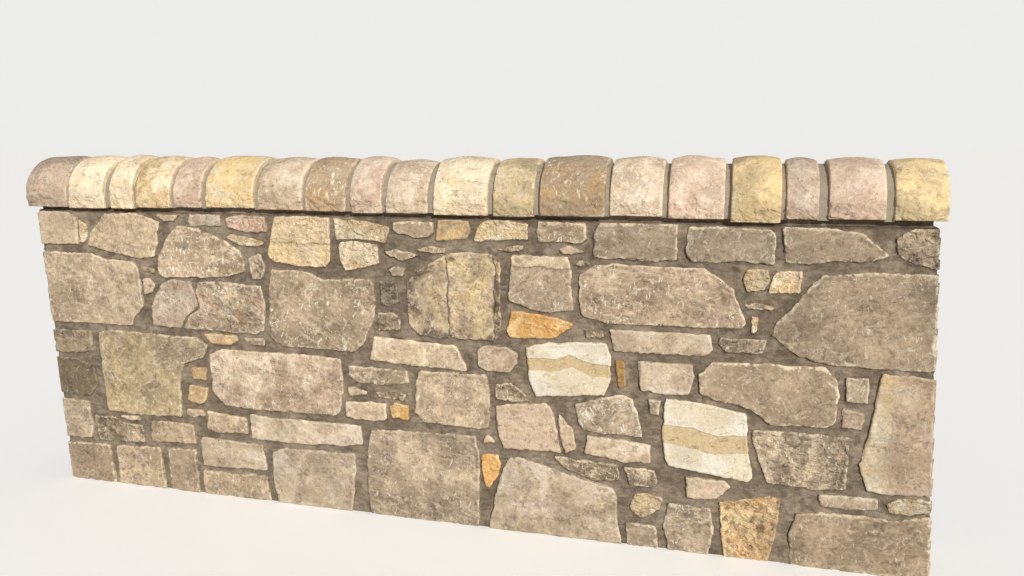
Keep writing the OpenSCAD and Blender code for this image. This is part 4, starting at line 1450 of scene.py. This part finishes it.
def build_lights():
    """A soft key from the upper right of the front, and an even pale surround."""
    key = bpy.data.lights.new("key", "SUN")
    key.energy = SUN_STRENGTH
    key.angle = SUN_WIDTH
    key.color = SUN_COLOUR
    lamp = bpy.data.objects.new("key", key)
    lamp.rotation_euler = Vector(SUN_FROM).to_track_quat("Z", "Y").to_euler()
    bpy.context.scene.collection.objects.link(lamp)
    world = bpy.data.worlds.new("surround")
    bpy.context.scene.world = world
    world.use_nodes = True
    tree = world.node_tree
    tree.nodes.clear()
    seen = add(tree, "ShaderNodeBackground", {"Color": SURROUND_SEEN, "Strength": 1.0})
    light = add(tree, "ShaderNodeBackground", {"Color": (1.0, 1.0, 1.0, 1), "Strength": SURROUND_STRENGTH})
    by_camera = add(tree, "ShaderNodeLightPath", output="Is Camera Ray")
    both = add(tree, "ShaderNodeMixShader", {0: by_camera, 1: light, 2: seen})
    add(tree, "ShaderNodeOutputWorld", {"Surface": both})


def build_camera():
    """The camera where the photograph was taken from, seen in the wall's frame."""
    camera = bpy.data.cameras.new("camera")
    camera.sensor_width = 36.0
    camera.lens = CAMERA_LENS
    holder = bpy.data.objects.new("camera", camera)
    yaw, pitch, roll = (math.radians(turn) for turn in CAMERA_TURNS)
    forward = Vector((math.sin(yaw) * math.cos(pitch), math.cos(yaw) * math.cos(pitch), -math.sin(pitch)))
    level = Vector((math.cos(yaw), -math.sin(yaw), 0))
    below = forward.cross(level)
    right = level * math.cos(roll) + below * math.sin(roll)
    down = below * math.cos(roll) - level * math.sin(roll)
    turn = Matrix((right, -down, -forward)).transposed().to_4x4()
    holder.matrix_world = Matrix.Translation(CAMERA_PLACE) @ turn
    bpy.context.scene.collection.objects.link(holder)
    bpy.context.scene.camera = holder


class WALL_PT_panel(bpy.types.Panel):
    """Lists the sizes, the colours and the steps"""
    bl_idname = "WALL_PT_panel"
    bl_label = "Rubble garden wall"
    bl_space_type = "VIEW_3D"
    bl_region_type = "UI"
    bl_category = "Wall"

    def draw(self, context):
        for group in (context.scene.wall_sizes, context.scene.wall_colours):
            for name in group.bl_rna.properties.keys():
                if name not in ("rna_type", "name"):
                    self.layout.prop(group, name)
        for step_class in STEPS:
            self.layout.operator(step_class.bl_idname)


STEPS = (WALL_OT_stage, WALL_OT_cope, WALL_OT_quoins, WALL_OT_face_stones, WALL_OT_mortar)
CLASSES = (WallSizes, WallColours, *STEPS, WALL_PT_panel)


def register():
    """Makes the settings, the steps and the panel known to Blender."""
    for kind in CLASSES:
        bpy.utils.register_class(kind)
    bpy.types.Scene.wall_sizes = PointerProperty(type=WallSizes)
    bpy.types.Scene.wall_colours = PointerProperty(type=WallColours)


def unregister():
    """Takes the settings, the steps and the panel away again."""
    del bpy.types.Scene.wall_colours
    del bpy.types.Scene.wall_sizes
    for kind in reversed(CLASSES):
        bpy.utils.unregister_class(kind)


def main():
    """Registers the add-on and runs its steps."""
    register()
    bpy.context.scene.view_settings.view_transform = "Standard"
    bpy.ops.wall.stage()
    bpy.ops.wall.cope()
    bpy.ops.wall.quoins()
    bpy.ops.wall.face_stones()
    bpy.ops.wall.mortar()


if __name__ == "__main__":
    main()
